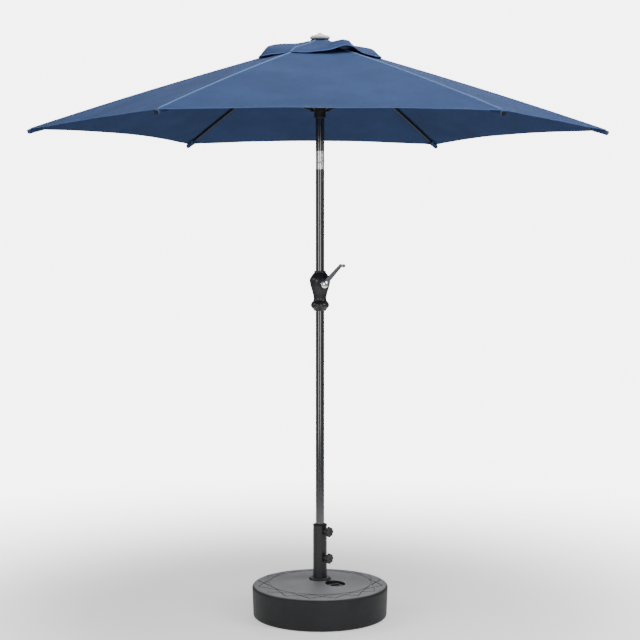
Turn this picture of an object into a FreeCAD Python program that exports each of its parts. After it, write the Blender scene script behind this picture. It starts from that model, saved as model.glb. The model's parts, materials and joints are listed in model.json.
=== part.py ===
"""Patio umbrella with a weighted base: a parametric FreeCAD macro.

Millimetres, +Z up, origin on the ground under the pole, +X to the right and -Y towards the user's
side, where the crank is. The rest position is the open canopy. Ribs stand every 60 degrees from +X.

Sizes holds the driving dimensions. Places holds what follows from them. A piece made of turned
outlines, primitives or booleans is bound to those cells, and the rest read them through Cells.
"""

import math
import os
import re

import FreeCAD
import Part
import Sketcher
from FreeCAD import Rotation, Vector

SIZES = [
    # base
    ("base_diameter", 550, "outside of the base"),
    ("base_height", 128, "height of the base at its rim"),
    ("base_taper", 5, "the foot of the side is this much inside the rim"),
    ("dome_rise", 20, "the middle of the top stands this much above the rim"),
    ("base_wall", 4, "wall of the hollow base"),
    ("rim_round", 14, "rounding of the rim"),
    ("foot_round", 10, "rounding at the bottom of the side"),
    ("band_groove_diameter", 418, "round groove inside the lattice band"),
    ("lattice_inner_diameter", 426, "inner corners of the lattice lines"),
    ("lattice_outer_diameter", 510, "outer corners of the lattice lines"),
    ("lattice_count", 16, "corners round the lattice"),
    ("groove_width", 3.6, "width of the groove and of the lattice lines"),
    ("groove_depth", 2.5, "depth of the groove and of the lattice lines"),
    ("recess_diameter", 82, "dish round the filler cap"),
    ("recess_depth", 12, "depth of that dish"),
    ("recess_distance", 88, "dish centre from the pole axis"),
    ("recess_angle", -48, "direction of the dish from +X"),
    ("filler_diameter", 44, "filler hole"),
    ("ballast_height", 62, "height of the packed sand"),
    ("socket_floor", 16, "height of the floor that the tube stands on"),
    # base tube and its clamps
    ("tube_diameter", 56, "outside of the base tube"),
    ("tube_wall", 2, "wall of the base tube"),
    ("tube_top", 368, "height of the top of the base tube"),
    ("foot_ring_diameter", 90, "trim ring round the tube"),
    ("foot_ring_height", 8, "height of the trim ring"),
    ("reducer_flange", 6, "height of the reducer's visible flange"),
    ("clamp_angle", -45, "direction of both clamp knobs from +X"),
    ("upper_clamp_height", 346, "height of the upper clamp"),
    ("lower_clamp_height", 238, "height of the lower clamp"),
    ("knob_diameter", 42, "star knob across its lobes"),
    ("knob_lobes", 8, "lobes of a star knob"),
    ("stud_diameter", 8, "clamp stud"),
    # pole
    ("pole_diameter", 35, "outside of the pole"),
    ("pole_wall", 1.5, "wall of the pole"),
    ("pole_joint_height", 1256, "where the lower and middle pole meet"),
    ("tilt_height", 1837, "tilt axis above the ground"),
    ("tilt_joint_half", 36, "half the height of the tilt joint"),
    ("tilt_slot_depth", 12, "slot of the fork below the tilt axis"),
    # crank
    ("crank_height", 1345, "crank axis above the ground"),
    ("crank_angle", -76.5, "direction of the crank axis from +X"),
    ("housing_above", 52, "crank housing above the crank axis"),
    ("housing_below", 109, "crank housing below the crank axis"),
    ("boss_radius", 20, "round boss of the housing at the crank"),
    ("boss_reach", 55.5, "face of that boss from the pole axis"),
    ("housing_wall", 2.5, "wall of the crank housing"),
    ("drum_radius", 10.25, "core of the cord drum"),
    ("crank_reach", 100, "crank axis to handle axis"),
    ("handle_end", 112, "end of the turning handle from the pole axis"),
    ("crank_rest_angle", 47, "handle direction above level at rest"),
    # canopy frame
    ("rib_count", 6, "ribs round the canopy"),
    ("hub_height", 2288, "height of the rib hinges"),
    ("hinge_radius", 30, "rib and strut hinges from the pole axis"),
    ("rib_length", 1165, "rib hinge to rib end, along the rib"),
    ("rib_start_slope", 15.2, "slope of the rib at its hinge"),
    ("rib_end_slope", 18.4, "slope of the rib at its end"),
    ("rib_width", 10, "rib tube, across"),
    ("rib_depth", 12, "rib tube, upright"),
    ("strut_length", 417, "strut pivot distance along the rib"),
    ("strut_drop", 13, "strut pivot below the middle of the rib"),
    ("strut_width", 8, "strut tube, across"),
    ("strut_depth", 10, "strut tube, upright"),
    ("frame_wall", 1, "wall of the rib and strut tubes"),
    ("tongue_width", 5, "flattened ends of ribs and struts"),
    ("pin_diameter", 4, "hinge pins of ribs and struts"),
    ("runner_gap", 1, "room between the runner and the pole"),
    ("pulley_share", 0.44, "pulley radius as a share of the hinge radius"),
    ("cord_angle", 30, "direction of the pulley and the outer cord from +X"),
    # canopy cloth and finial
    ("cloth_thickness", 1.6, "cloth with its seams"),
    ("cloth_lift", 1.5, "cloth above the top of the ribs"),
    ("vent_hole_radius", 130, "hole in the main canopy, at the ribs"),
    ("cloth_reach", 1128, "cloth corner from the pole axis"),
    ("hem_hollow", 48, "each hem curves in this much"),
    ("vent_reach", 240, "corner of the vent cap from the pole axis"),
    ("vent_slope", 6.5, "slope of the vent cap along a rib, out to its crease"),
    ("vent_crease", 206, "crease of the vent cap from the pole axis"),
    ("vent_turn_down", 40, "slope of the vent cap outside its crease"),
    ("finial_diameter", 80, "finial disc"),
    ("finial_rise", 52, "top of the finial above the rib hinges"),
    # clearances and cord
    ("running_gap", 0.06, "radial clearance of a turning fit"),
    ("loose_gap", 0.3, "clearance of pieces that only pass"),
    ("cord_diameter", 2.5, "lift cord"),
]

PLACES = [
    ("base_radius", "=Sizes.base_diameter / 2"),
    ("top_height", "=Sizes.base_height + Sizes.dome_rise"),
    ("tube_radius", "=Sizes.tube_diameter / 2"),
    ("tube_bore", "=tube_radius - Sizes.tube_wall"),
    ("socket_radius", "=tube_radius + 0.1"),
    ("ring_radius", "=Sizes.foot_ring_diameter / 2"),
    ("flat_radius", "=ring_radius + 1"),
    ("pole_radius", "=Sizes.pole_diameter / 2"),
    ("pole_bore", "=pole_radius - Sizes.pole_wall"),
    ("floor_top", "=Sizes.socket_floor + 4"),
    ("pole_bottom", "=floor_top + 14"),
    ("tilt_bottom", "=Sizes.tilt_height - Sizes.tilt_joint_half"),
    ("tilt_top", "=Sizes.tilt_height + Sizes.tilt_joint_half"),
    ("pole_top", "=Sizes.hub_height + 12"),
    ("hub_top", "=pole_top + 4"),
    ("finial_top", "=Sizes.hub_height + Sizes.finial_rise"),
    ("housing_top", "=Sizes.crank_height + Sizes.housing_above"),
    ("housing_bottom", "=Sizes.crank_height - Sizes.housing_below"),
    ("recess_x", "=Sizes.recess_distance * cos(Sizes.recess_angle * 1deg)"),
    ("recess_y", "=Sizes.recess_distance * sin(Sizes.recess_angle * 1deg)"),
    ("dome_slope", "=Sizes.dome_rise / (base_radius - flat_radius)"),
    ("recess_floor", "=top_height - dome_slope * (Sizes.recess_distance - flat_radius)"
     " - Sizes.recess_depth"),
]

NODES = []


class Cells:
    """Reads the cells of both sheets by their names."""

    def __init__(self, sizes, places):
        self.homes = {row[0]: sizes for row in SIZES} | {row[0]: places for row in PLACES}

    def __getattr__(self, name):
        return float(self.homes[name].get(name))


def fill_sheets(doc):
    """Writes the driving sizes and the places that follow from them."""
    sizes = doc.addObject("Spreadsheet::Sheet", "Sizes")
    for row, (alias, value, meaning) in enumerate(SIZES, start=1):
        sizes.set(f"A{row}", alias)
        sizes.set(f"B{row}", str(value))
        sizes.setAlias(f"B{row}", alias)
        sizes.set(f"C{row}", meaning)
    doc.recompute()
    places = doc.addObject("Spreadsheet::Sheet", "Places")
    for row, (alias, formula) in enumerate(PLACES, start=1):
        places.set(f"A{row}", alias)
        places.setAlias(f"B{row}", alias)
        places.set(f"B{row}", formula)
        doc.recompute()
    return Cells(sizes, places)


def bound(text):
    """Puts the sheet's name before every cell name in an expression."""
    homes = {row[0]: "Sizes." for row in SIZES} | {row[0]: "Places." for row in PLACES}
    return re.sub(r"[a-z][a-z_]+", lambda word: homes.get(word[0], "") + word[0], text)


# ---------------------------------------------------------------- builders


def piece(feature, label):
    """Names a finished sub-part and puts it on the list of files to write."""
    feature.Label = label
    NODES.append(feature)
    return feature


def shaped(label, shape, placement=None):
    """A sub-part whose shape is worked out from the cells."""
    feature = doc.addObject("Part::Feature", label + "_shape")
    feature.Shape = shape
    if placement is not None:
        feature.Placement = placement.multiply(shape.Placement)
    return piece(feature, label)


def turned(name, outline):
    """A body turned round the pole axis. The outline is pairs of radius and height expressions."""
    body = doc.addObject("PartDesign::Body", name)
    plane = next(item for item in body.Origin.OriginFeatures if item.Role == "XZ_Plane")
    sketch = body.newObject("Sketcher::SketchObject", name + "_outline")
    sketch.AttachmentSupport = (plane, "")
    sketch.MapMode = "FlatFace"
    cells_at = [(measure(radius), measure(height)) for radius, height in outline]
    count = len(outline)
    for at in range(count):
        start, end = cells_at[at], cells_at[(at + 1) % count]
        sketch.addGeometry(Part.LineSegment(Vector(*start, 0), Vector(*end, 0)), False)
    for at in range(count):
        sketch.addConstraint(Sketcher.Constraint("Coincident", at, 2, (at + 1) % count, 1))
    for at, (radius, height) in enumerate(outline):
        if radius == "0":
            sketch.addConstraint(Sketcher.Constraint("PointOnObject", at, 1, -2))
        else:
            place_corner(sketch, "DistanceX", at, cells_at[at][0], radius)
        if height == "0":
            sketch.addConstraint(Sketcher.Constraint("PointOnObject", at, 1, -1))
        else:
            place_corner(sketch, "DistanceY", at, cells_at[at][1], height)
    turn = body.newObject("PartDesign::Revolution", name + "_turn")
    turn.Profile = sketch
    turn.ReferenceAxis = (sketch, ["V_Axis"])
    turn.Angle = 360
    body.Tip = turn
    return body


def place_corner(sketch, kind, corner, now, expression):
    """Holds one corner of an outline at its expression."""
    row = sketch.addConstraint(Sketcher.Constraint(kind, -1, 1, corner, 1, now))
    name = f"{kind}_{corner}"
    sketch.renameConstraint(row, name)
    sketch.setExpression(f"Constraints.{name}", bound(expression))


def measure(expression):
    """The value of an expression of the cells now."""
    gauge.setExpression("Width", bound(expression) + " + 1000")
    gauge.recompute()
    return float(gauge.Width) - 1000


def primitive(kind, name, at=("0", "0", "0"), **sizes):
    """A Part primitive, upright, bound to the cells."""
    feature = doc.addObject("Part::" + kind, name)
    for key, expression in sizes.items():
        feature.setExpression(key, bound(expression))
    for axis, expression in zip("xyz", at):
        feature.setExpression(f"Placement.Base.{axis}", bound(expression))
    return feature


def cylinder(name, radius, low, high, x="0", y="0"):
    """An upright cylinder between two heights."""
    return primitive("Cylinder", name, (x, y, low), Radius=radius, Height=f"({high}) - ({low})")


def joined(name, features):
    """The union of several features."""
    union = doc.addObject("Part::MultiFuse", name)
    union.Shapes = features
    return union


def cut(name, base, tools):
    """A feature less its tools."""
    result = doc.addObject("Part::Cut", name)
    result.Base = base
    result.Tool = tools[0] if len(tools) == 1 else joined(name + "_tools", tools)
    return result


def common(name, first, second):
    """What two features share."""
    result = doc.addObject("Part::Common", name)
    result.Base, result.Tool = first, second
    return result


def rounded(name, base, radius, choose):
    """Rounds the edges that the chooser picks."""
    doc.recompute()
    feature = doc.addObject("Part::Fillet", name)
    feature.Base = base
    edges = [at for at, edge in enumerate(base.Shape.Edges, start=1) if choose(edge)]
    if not edges:
        raise RuntimeError(f"{name} found no edge to round")
    feature.Edges = [(at, radius, radius) for at in edges]
    return feature


def rod(radius, start, end):
    """A round rod between two points."""
    along = end - start
    return Part.makeCylinder(radius, along.Length, start, along)


def block(low, high):
    """A box between two corners."""
    size = high - low
    return Part.makeBox(size.x, size.y, size.z, low)


def rounded_rectangle(width, depth, radius):
    """A wire in the YZ plane, width along Y and depth along Z, with round corners."""
    half_w, half_d = width / 2, depth / 2
    edges = []
    corners = [(1, 1), (-1, 1), (-1, -1), (1, -1)]
    for turn, (y_side, z_side) in enumerate(corners):
        middle = Vector(0, y_side * (half_w - radius), z_side * (half_d - radius))
        points = []
        for step in (0, 45, 90):
            angle = math.radians(90 * turn + step)
            points.append(middle + Vector(0, radius * math.cos(angle), radius * math.sin(angle)))
        if edges:
            edges.append(Part.makeLine(edges[-1].Vertexes[-1].Point, points[0]))
        edges.append(Part.Arc(*points).toShape())
    edges.append(Part.makeLine(edges[-1].Vertexes[-1].Point, edges[0].Vertexes[0].Point))
    return Part.Wire(edges)


def spin(angle, axis=Vector(0, 0, 1)):
    """A placement that turns about the pole axis."""
    return FreeCAD.Placement(Vector(0, 0, 0), Rotation(axis, angle))


def facing(angle, height, distance=0.0):
    """A placement that turns +Z of a piece to point away from the pole at an angle."""
    out = Vector(math.cos(math.radians(angle)), math.sin(math.radians(angle)), 0)
    across = Vector(0, 0, 1).cross(out)
    turn = Rotation(across, Vector(0, 0, 1), out, "ZXY")
    return FreeCAD.Placement(out * distance + Vector(0, 0, height), turn)


# ---------------------------------------------------------------- base


def base_shell():
    """The hollow base: domed top, central socket, filler dish and engraved lattice."""
    outside = turned("base_outside", [
        ("socket_radius", "socket_floor"), ("socket_radius", "top_height"),
        ("flat_radius", "top_height"), ("base_radius", "base_height"),
        ("base_radius - base_taper", "0"), ("22", "0"), ("22", "socket_floor - 8"),
        ("5.2", "socket_floor - 8"), ("5.2", "socket_floor"),
    ])
    hollow = turned("base_hollow", [
        ("socket_radius + 6", "base_wall"), ("socket_radius + 6", "top_height - base_wall"),
        ("flat_radius", "top_height - base_wall"),
        ("base_radius - rim_round", "base_height - base_wall + rim_round * dome_slope"),
        ("base_radius - base_wall", "base_height - rim_round"),
        ("base_radius - base_taper - base_wall", "foot_round"),
        ("base_radius - base_taper - foot_round", "base_wall"),
    ])
    doc.recompute()
    rim = cells.base_radius
    edge_at = {"rim": (rim, cells.base_height), "foot": (rim - cells.base_taper, 0.0)}

    def is_ring(edge, radius, height):
        box = edge.BoundBox
        return abs(box.XMax - radius) < 0.01 and abs(box.ZMin - height) < 0.01 and box.ZLength < 0.01

    soft_rim = rounded("base_soft_rim", outside, cells.rim_round,
                       lambda edge: is_ring(edge, *edge_at["rim"]))
    doc.recompute()
    soft = rounded("base_soft", soft_rim, cells.foot_round,
                   lambda edge: is_ring(edge, *edge_at["foot"]))
    walls = cut("base_walls", soft, [hollow])
    cup = cylinder("base_cup", "recess_diameter / 2 + base_wall", "recess_floor - base_wall",
                   "top_height + 1", "recess_x", "recess_y")
    with_cup = joined("base_with_cup", [walls, common("base_cup_inside", soft, cup)])
    dish = cylinder("base_dish", "recess_diameter / 2", "recess_floor", "top_height + 2",
                    "recess_x", "recess_y")
    filler = cylinder("base_filler", "filler_diameter / 2", "recess_floor - base_wall - 1",
                      "recess_floor + 1", "recess_x", "recess_y")
    lattice = doc.addObject("Part::Feature", "base_lattice")
    lattice.Shape = engraving()
    piece(cut("base_shell_cut", with_cup, [dish, filler, lattice]), "base_shell")


def engraving():
    """The round groove and the crossing lines of the lattice, as deep as the groove everywhere."""
    inner, outer = cells.lattice_inner_diameter / 2, cells.lattice_outer_diameter / 2
    low, high = cells.base_height - 10, cells.top_height + 10
    step = 360 / cells.lattice_count
    lines = []
    for at in range(int(cells.lattice_count)):
        start_angle = -90 + step * (at + 0.5)
        for side in (-1, 1):
            start = polar(inner, start_angle, low)
            end = polar(outer, start_angle + side * step, low)
            lines.append(bar(start, end, cells.groove_width, high - low))
    ring_radius = cells.band_groove_diameter / 2
    ring = Part.makeCylinder(ring_radius, high - low, Vector(0, 0, low)).cut(
        Part.makeCylinder(ring_radius - cells.groove_width, high - low, Vector(0, 0, low)))
    flat, rim = cells.flat_radius, cells.base_radius
    top, edge = cells.top_height, cells.base_height
    layer = Part.Face(Part.makePolygon([
        Vector(flat, 0, top - cells.groove_depth), Vector(rim, 0, edge - cells.groove_depth),
        Vector(rim, 0, top + 5), Vector(flat, 0, top + 5), Vector(flat, 0, top - cells.groove_depth),
    ])).revolve(Vector(0, 0, 0), Vector(0, 0, 1), 360)
    return ring.fuse(lines).common(layer)


def polar(radius, angle, height=0.0):
    """A point at a radius and an angle in degrees."""
    turn = math.radians(angle)
    return Vector(radius * math.cos(turn), radius * math.sin(turn), height)


def bar(start, end, width, height):
    """An upright wall of one width along a line in plan."""
    along = (end - start).normalize()
    side = Vector(-along.y, along.x, 0) * (width / 2)
    corners = [start - side, end - side, end + side, start + side, start - side]
    return Part.Face(Part.makePolygon(corners)).extrude(Vector(0, 0, height))


def base_tube():
    """The welded tube and its floor plate, with the two clamp holes."""
    tube = turned("tube_turned", [
        ("5.15", "socket_floor"), ("tube_radius", "socket_floor"), ("tube_radius", "tube_top"),
        ("tube_bore", "tube_top"), ("tube_bore", "floor_top"), ("5.15", "floor_top"),
    ])
    holes = []
    for place in ("upper", "lower"):
        hole = doc.addObject("Part::Cylinder", f"tube_{place}_clamp_hole")
        hole.setExpression("Radius", bound("stud_diameter / 2 + loose_gap"))
        hole.setExpression("Height", bound("tube_diameter"))
        hole.Placement = facing(cells.clamp_angle, getattr(cells, f"{place}_clamp_height"))
        holes.append(hole)
    piece(cut("base_tube_cut", tube, holes), "base_tube")


def base_small_pieces():
    """Ballast, foot ring, reducer, tube bolt and clamp nuts."""
    piece(turned("ballast_turned", [
        ("socket_radius + 6 + loose_gap", "base_wall"),
        ("base_radius - base_taper - foot_round - 2", "base_wall"),
        ("base_radius - base_taper - base_wall - 1", "base_wall + foot_round"),
        ("base_radius - base_taper - base_wall - 1", "ballast_height + base_wall"),
        ("socket_radius + 6 + loose_gap", "ballast_height + base_wall"),
    ]), "ballast_sand")
    piece(turned("foot_ring_turned", [
        ("tube_radius + 0.1", "top_height"), ("ring_radius", "top_height"),
        ("ring_radius", "top_height + foot_ring_height / 3"),
        ("ring_radius - 5", "top_height + foot_ring_height"),
        ("tube_radius + 0.1", "top_height + foot_ring_height"),
    ]), "foot_ring")
    piece(turned("reducer_turned", [
        ("pole_radius + loose_gap", "tube_top - 14"), ("tube_bore - 0.1", "tube_top - 14"),
        ("tube_bore - 0.1", "tube_top"), ("tube_radius + 1", "tube_top"),
        ("tube_radius + 1", "tube_top + reducer_flange - 2"),
        ("tube_radius - 2", "tube_top + reducer_flange"),
        ("pole_radius + loose_gap", "tube_top + reducer_flange"),
    ]), "tube_reducer")
    head = Part.Face(hexagon(9.2, cells.socket_floor - 8 - 6.4)).extrude(Vector(0, 0, 6.4))
    shank = rod(5, Vector(0, 0, cells.socket_floor - 8), Vector(0, 0, cells.floor_top + 2))
    shaped("base_bolt", head.fuse(shank))
    nuts = []
    for height in (cells.upper_clamp_height, cells.lower_clamp_height):
        nut = Part.makeCylinder(11, 11.5, Vector(0, 0, cells.tube_radius - 1.5)).cut(
            Part.makeCylinder(cells.stud_diameter / 2 + cells.running_gap, 60))
        nut.Placement = facing(cells.clamp_angle, height)
        tube = Part.makeCylinder(cells.tube_radius + 0.02, 60, Vector(0, 0, height - 30))
        nuts.append(nut.cut(tube))
    shaped("clamp_nuts", Part.makeCompound(nuts))


def hexagon(radius, height, turn=0.0):
    """A closed hexagonal wire at a height."""
    return Part.makePolygon([polar(radius, turn + 60 * at, height) for at in range(7)])


def clamp_knobs():
    """Two star knobs, each moulded on its stud, whose tip stands just off the pole."""
    for place in ("upper", "lower"):
        tip = cells.pole_radius + cells.loose_gap
        face = cells.tube_radius + 10.6
        stud = Part.makeCylinder(cells.stud_diameter / 2, face + 4 - tip, Vector(0, 0, tip))
        neck = Part.makeCone(8, 11, 6, Vector(0, 0, face))
        head = star(cells.knob_diameter / 2, int(cells.knob_lobes), 12, face + 5)
        dimple = Part.makeCylinder(6, 3, Vector(0, 0, face + 15.5))
        knob = stud.fuse([neck, head]).cut(dimple)
        height = getattr(cells, f"{place}_clamp_height")
        shaped(f"{place}_clamp_knob", knob, facing(cells.clamp_angle, height))


def star(radius, lobes, thickness, low):
    """A disc with a wavy outline, one wave to a lobe, and softened edges."""
    points = []
    for at in range(4 * lobes):
        wave = math.cos(math.pi * at / 2)
        points.append(polar(radius * (0.93 + 0.07 * wave), 90 / lobes * at, low))
    outline = Part.BSplineCurve()
    outline.interpolate(points, PeriodicFlag=True)
    disc = Part.Face(Part.Wire(outline.toShape())).extrude(Vector(0, 0, thickness))
    ends = [edge for edge in disc.Edges if edge.BoundBox.ZLength < 0.01]
    return disc.makeFillet(1.5, ends)


def fill_cap():
    """The threaded filler cap with its grip bar."""
    floor = cells.recess_floor
    centre = Vector(cells.recess_x, cells.recess_y, 0)
    radius = cells.filler_diameter / 2
    plug = Part.makeCylinder(radius - cells.loose_gap, cells.base_wall + 5,
                             Vector(0, 0, floor - cells.base_wall - 5))
    flange = Part.makeCylinder(radius + 5, 3.5, Vector(0, 0, floor))
    grip = block(Vector(-18, -3.2, floor + 3.4), Vector(18, 3.2, floor + 10))
    ends = [edge for edge in grip.Edges if edge.BoundBox.ZLength > 3]
    grip = grip.makeFillet(3, ends)
    cap = plug.fuse([flange, grip]).removeSplitter()
    shaped("fill_cap", cap, FreeCAD.Placement(centre, Rotation(Vector(0, 0, 1), 28)))


# ---------------------------------------------------------------- pole


def pole_pieces():
    """Foot plug, lower and middle pole, and the sleeve that joins them."""
    piece(turned("foot_plug_turned", [
        ("0", "floor_top + 6"), ("8", "floor_top + 6"), ("8", "floor_top"),
        ("tube_bore - loose_gap", "floor_top"), ("tube_bore - loose_gap", "pole_bottom - 0.2"),
        ("pole_bore - 0.2", "pole_bottom - 0.2"), ("pole_bore - 0.2", "pole_bottom + 26"),
        ("pole_bore - 3", "pole_bottom + 30"), ("0", "pole_bottom + 30"),
    ]), "pole_foot_plug")
    piece(turned("lower_pole_turned", [
        ("pole_bore", "pole_bottom"), ("pole_radius", "pole_bottom"),
        ("pole_radius", "pole_joint_height"), ("pole_bore", "pole_joint_height"),
    ]), "lower_pole")
    piece(turned("coupler_turned", [
        ("pole_bore - 1.6", "pole_joint_height - 50"), ("pole_bore - 0.1", "pole_joint_height - 50"),
        ("pole_bore - 0.1", "pole_joint_height + 45"), ("pole_bore - 1.6", "pole_joint_height + 45"),
    ]), "pole_coupler")
    middle = turned("middle_pole_turned", [
        ("pole_bore", "pole_joint_height"), ("pole_radius", "pole_joint_height"),
        ("pole_radius", "tilt_bottom"), ("pole_bore", "tilt_bottom"),
    ])
    shaft_hole = doc.addObject("Part::Cylinder", "middle_pole_shaft_hole")
    shaft_hole.Radius = 5.5
    shaft_hole.setExpression("Height", bound("pole_diameter * 2"))
    shaft_hole.Placement = facing(cells.crank_angle, cells.crank_height, -cells.pole_diameter)
    piece(cut("middle_pole_cut", middle, [shaft_hole]), "middle_pole")


def housing_profile(inset):
    """The vase outline of the crank housing, moved in by the inset, as a face to turn."""
    top, bottom = cells.housing_top, cells.housing_bottom
    tall = top - bottom
    stations = [(24, 0.0), (28.5, 0.05), (36.4, 0.115), (37, 0.16), (34, 0.205), (26.6, 0.265),
                (26, 0.32), (30, 0.45), (37, 0.6), (41.6, 0.74), (41.3, 0.79), (35.6, 0.86),
                (28.4, 0.92), (24.4, 0.955), (24, 1.0)]
    points = [Vector(radius - inset, 0, bottom + share * tall) for radius, share in stations]
    curve = Part.BSplineCurve()
    curve.interpolate(points)
    inner = cells.pole_radius + 0.1
    low, high = Vector(inner, 0, bottom), Vector(inner, 0, top)
    edges = [curve.toShape(), Part.makeLine(points[-1], high), Part.makeLine(high, low),
             Part.makeLine(low, points[0])]
    return Part.Face(Part.Wire(edges))


def crank_housing():
    """Two half shells round the pole, with a round boss at the crank, and their screws."""
    axis, origin = Vector(0, 0, 1), Vector(0, 0, 0)
    solid = housing_profile(0).revolve(origin, axis, 360)
    boss = Part.makeCylinder(cells.boss_radius, cells.boss_reach)
    boss.Placement = facing(cells.crank_angle, cells.crank_height)
    solid = solid.fuse(boss)
    room = housing_profile(cells.housing_wall).revolve(origin, axis, 360)
    for low, high in ((cells.housing_bottom - 1, cells.housing_bottom + 8),
                      (cells.housing_top - 12, cells.housing_top + 1)):
        room = room.cut(Part.makeCylinder(60, high - low, Vector(0, 0, low)))
    shaft_hole = Part.makeCylinder(5 + cells.running_gap, 100)
    shaft_hole.Placement = facing(cells.crank_angle, cells.crank_height, -28)
    pole_hole = Part.makeCylinder(cells.pole_radius + 0.1, 300,
                                  Vector(0, 0, cells.housing_bottom - 50))
    case = solid.cut([room, shaft_hole, pole_hole])
    out = polar(1, cells.crank_angle)
    across = Vector(-out.y, out.x, 0)
    screws = []
    for side, height in ((-1, cells.housing_bottom + 22), (1, cells.housing_bottom + 22),
                         (-1, cells.crank_height + 22), (1, cells.crank_height + 22)):
        spot = across * (side * 25) + Vector(0, 0, height)
        screws.append(spot)
    lugs = [rod(5, spot - out * 40, spot + out * 40) for spot in screws]
    case = case.fuse([lug.common(solid).cut(pole_hole) for lug in lugs])
    holes = [rod(1.6, spot - out * 60, spot + out * 10) for spot in screws]
    heads = [rod(3.2, spot - out * 60, spot - out * 17) for spot in screws]
    case = case.cut(holes + heads)
    half = Part.makeBox(200, 100, 400, Vector(-100, 0.02, cells.housing_bottom - 100))
    front = half.copy()
    front.Placement = spin(cells.crank_angle - 90)
    rear = half.copy()
    rear.Placement = spin(cells.crank_angle + 90)
    shaped("crank_housing_front", case.common(front))
    shaped("crank_housing_rear", case.common(rear))
    made = [rod(1.55, spot - out * 17, spot + out * 8).fuse(rod(3, spot - out * 19.5, spot - out * 17))
            for spot in screws]
    shaped("housing_screws", Part.makeCompound(made))


# ---------------------------------------------------------------- crank


def crank_pieces():
    """Shaft with its drum, ridged arm, hub cap and turning handle, built along +Z then turned."""
    place = facing(cells.crank_angle, cells.crank_height)
    core, flange = cells.drum_radius, 13
    outline = [(0, -24), (5, -24), (5, -8), (flange, -8), (flange, -6.5), (core, -6.5), (core, 6.5),
               (flange, 6.5), (flange, 8), (5, 8), (5, 57), (0, 57)]
    face = Part.Face(Part.makePolygon([Vector(r, 0, z) for r, z in outline + outline[:1]]))
    shaft = face.revolve(Vector(0, 0, 0), Vector(0, 0, 1), 360)
    flat = block(Vector(3.6, -6, 56), Vector(6, 6, 58))
    shaped("crank_shaft", shaft.cut(flat), place)
    shaped("crank_arm", crank_arm(), place)
    cap = Part.makeCylinder(15.5, 3.2, Vector(0, 0, 67.1))
    cap = cap.fuse(Part.makeSphere(30, Vector(0, 0, 70.3 - 25.7)).common(
        Part.makeCylinder(15.4, 10, Vector(0, 0, 70.3))))
    shaped("crank_cap", cap.removeSplitter(), place)
    direction = crank_direction()
    start, end, bore = 66.5, cells.handle_end - 2, 2.6
    outline = [(bore, start), (5.5, start), (6.5, start + 4), (5.6, start + 14), (7.2, end - 9),
               (6.8, end - 3), (5.2, end), (bore, end)]
    grip_face = Part.Face(Part.makePolygon([Vector(r, 0, z) for r, z in outline + outline[:1]]))
    grip = grip_face.revolve(Vector(0, 0, 0), Vector(0, 0, 1), 360)
    grip.translate(direction * cells.crank_reach)
    shaped("crank_handle", grip, place)


def crank_direction():
    """The arm's direction in the crank's own plane: local X is level, local Y is up or down."""
    place = facing(cells.crank_angle, 0)
    lift = math.radians(cells.crank_rest_angle)
    level = Vector(0, 0, 1).cross(polar(1, cells.crank_angle))
    return place.Rotation.inverted().multVec(level * math.cos(lift) + Vector(0, 0, 1) * math.sin(lift))


def crank_arm():
    """A tapering channel with a round hub and a fixed pin for the handle."""
    out = crank_direction()
    side = Vector(0, 0, 1).cross(out)
    reach, low, thick = cells.crank_reach, 57, 9

    def taper(first, last, half_first, half_last, bottom, top):
        """A block along the arm whose half width changes evenly."""
        corners = [out * first + side * half_first, out * last + side * half_last,
                   out * last - side * half_last, out * first - side * half_first]
        plate = Part.makePolygon([corner + Vector(0, 0, bottom) for corner in corners + corners[:1]])
        return Part.Face(plate).extrude(Vector(0, 0, top - bottom))

    arm = taper(0, reach, 10, 6, low, low + thick)
    hub = Part.makeCylinder(15, thick + 1, Vector(0, 0, low))
    end = Part.makeCylinder(7, thick, Vector(0, 0, low) + out * reach)
    channel = taper(19, reach - 11, 6.4, 3.6, low + 4, low + thick + 1)
    arm = arm.fuse([hub, end]).cut(channel)
    last = cells.handle_end
    pin = rod(2.5, out * reach + Vector(0, 0, low + 3), out * reach + Vector(0, 0, last - 1))
    head = rod(4, out * reach + Vector(0, 0, last - 1.7), out * reach + Vector(0, 0, last))
    return arm.fuse([pin, head])


# ---------------------------------------------------------------- tilt joint


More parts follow.
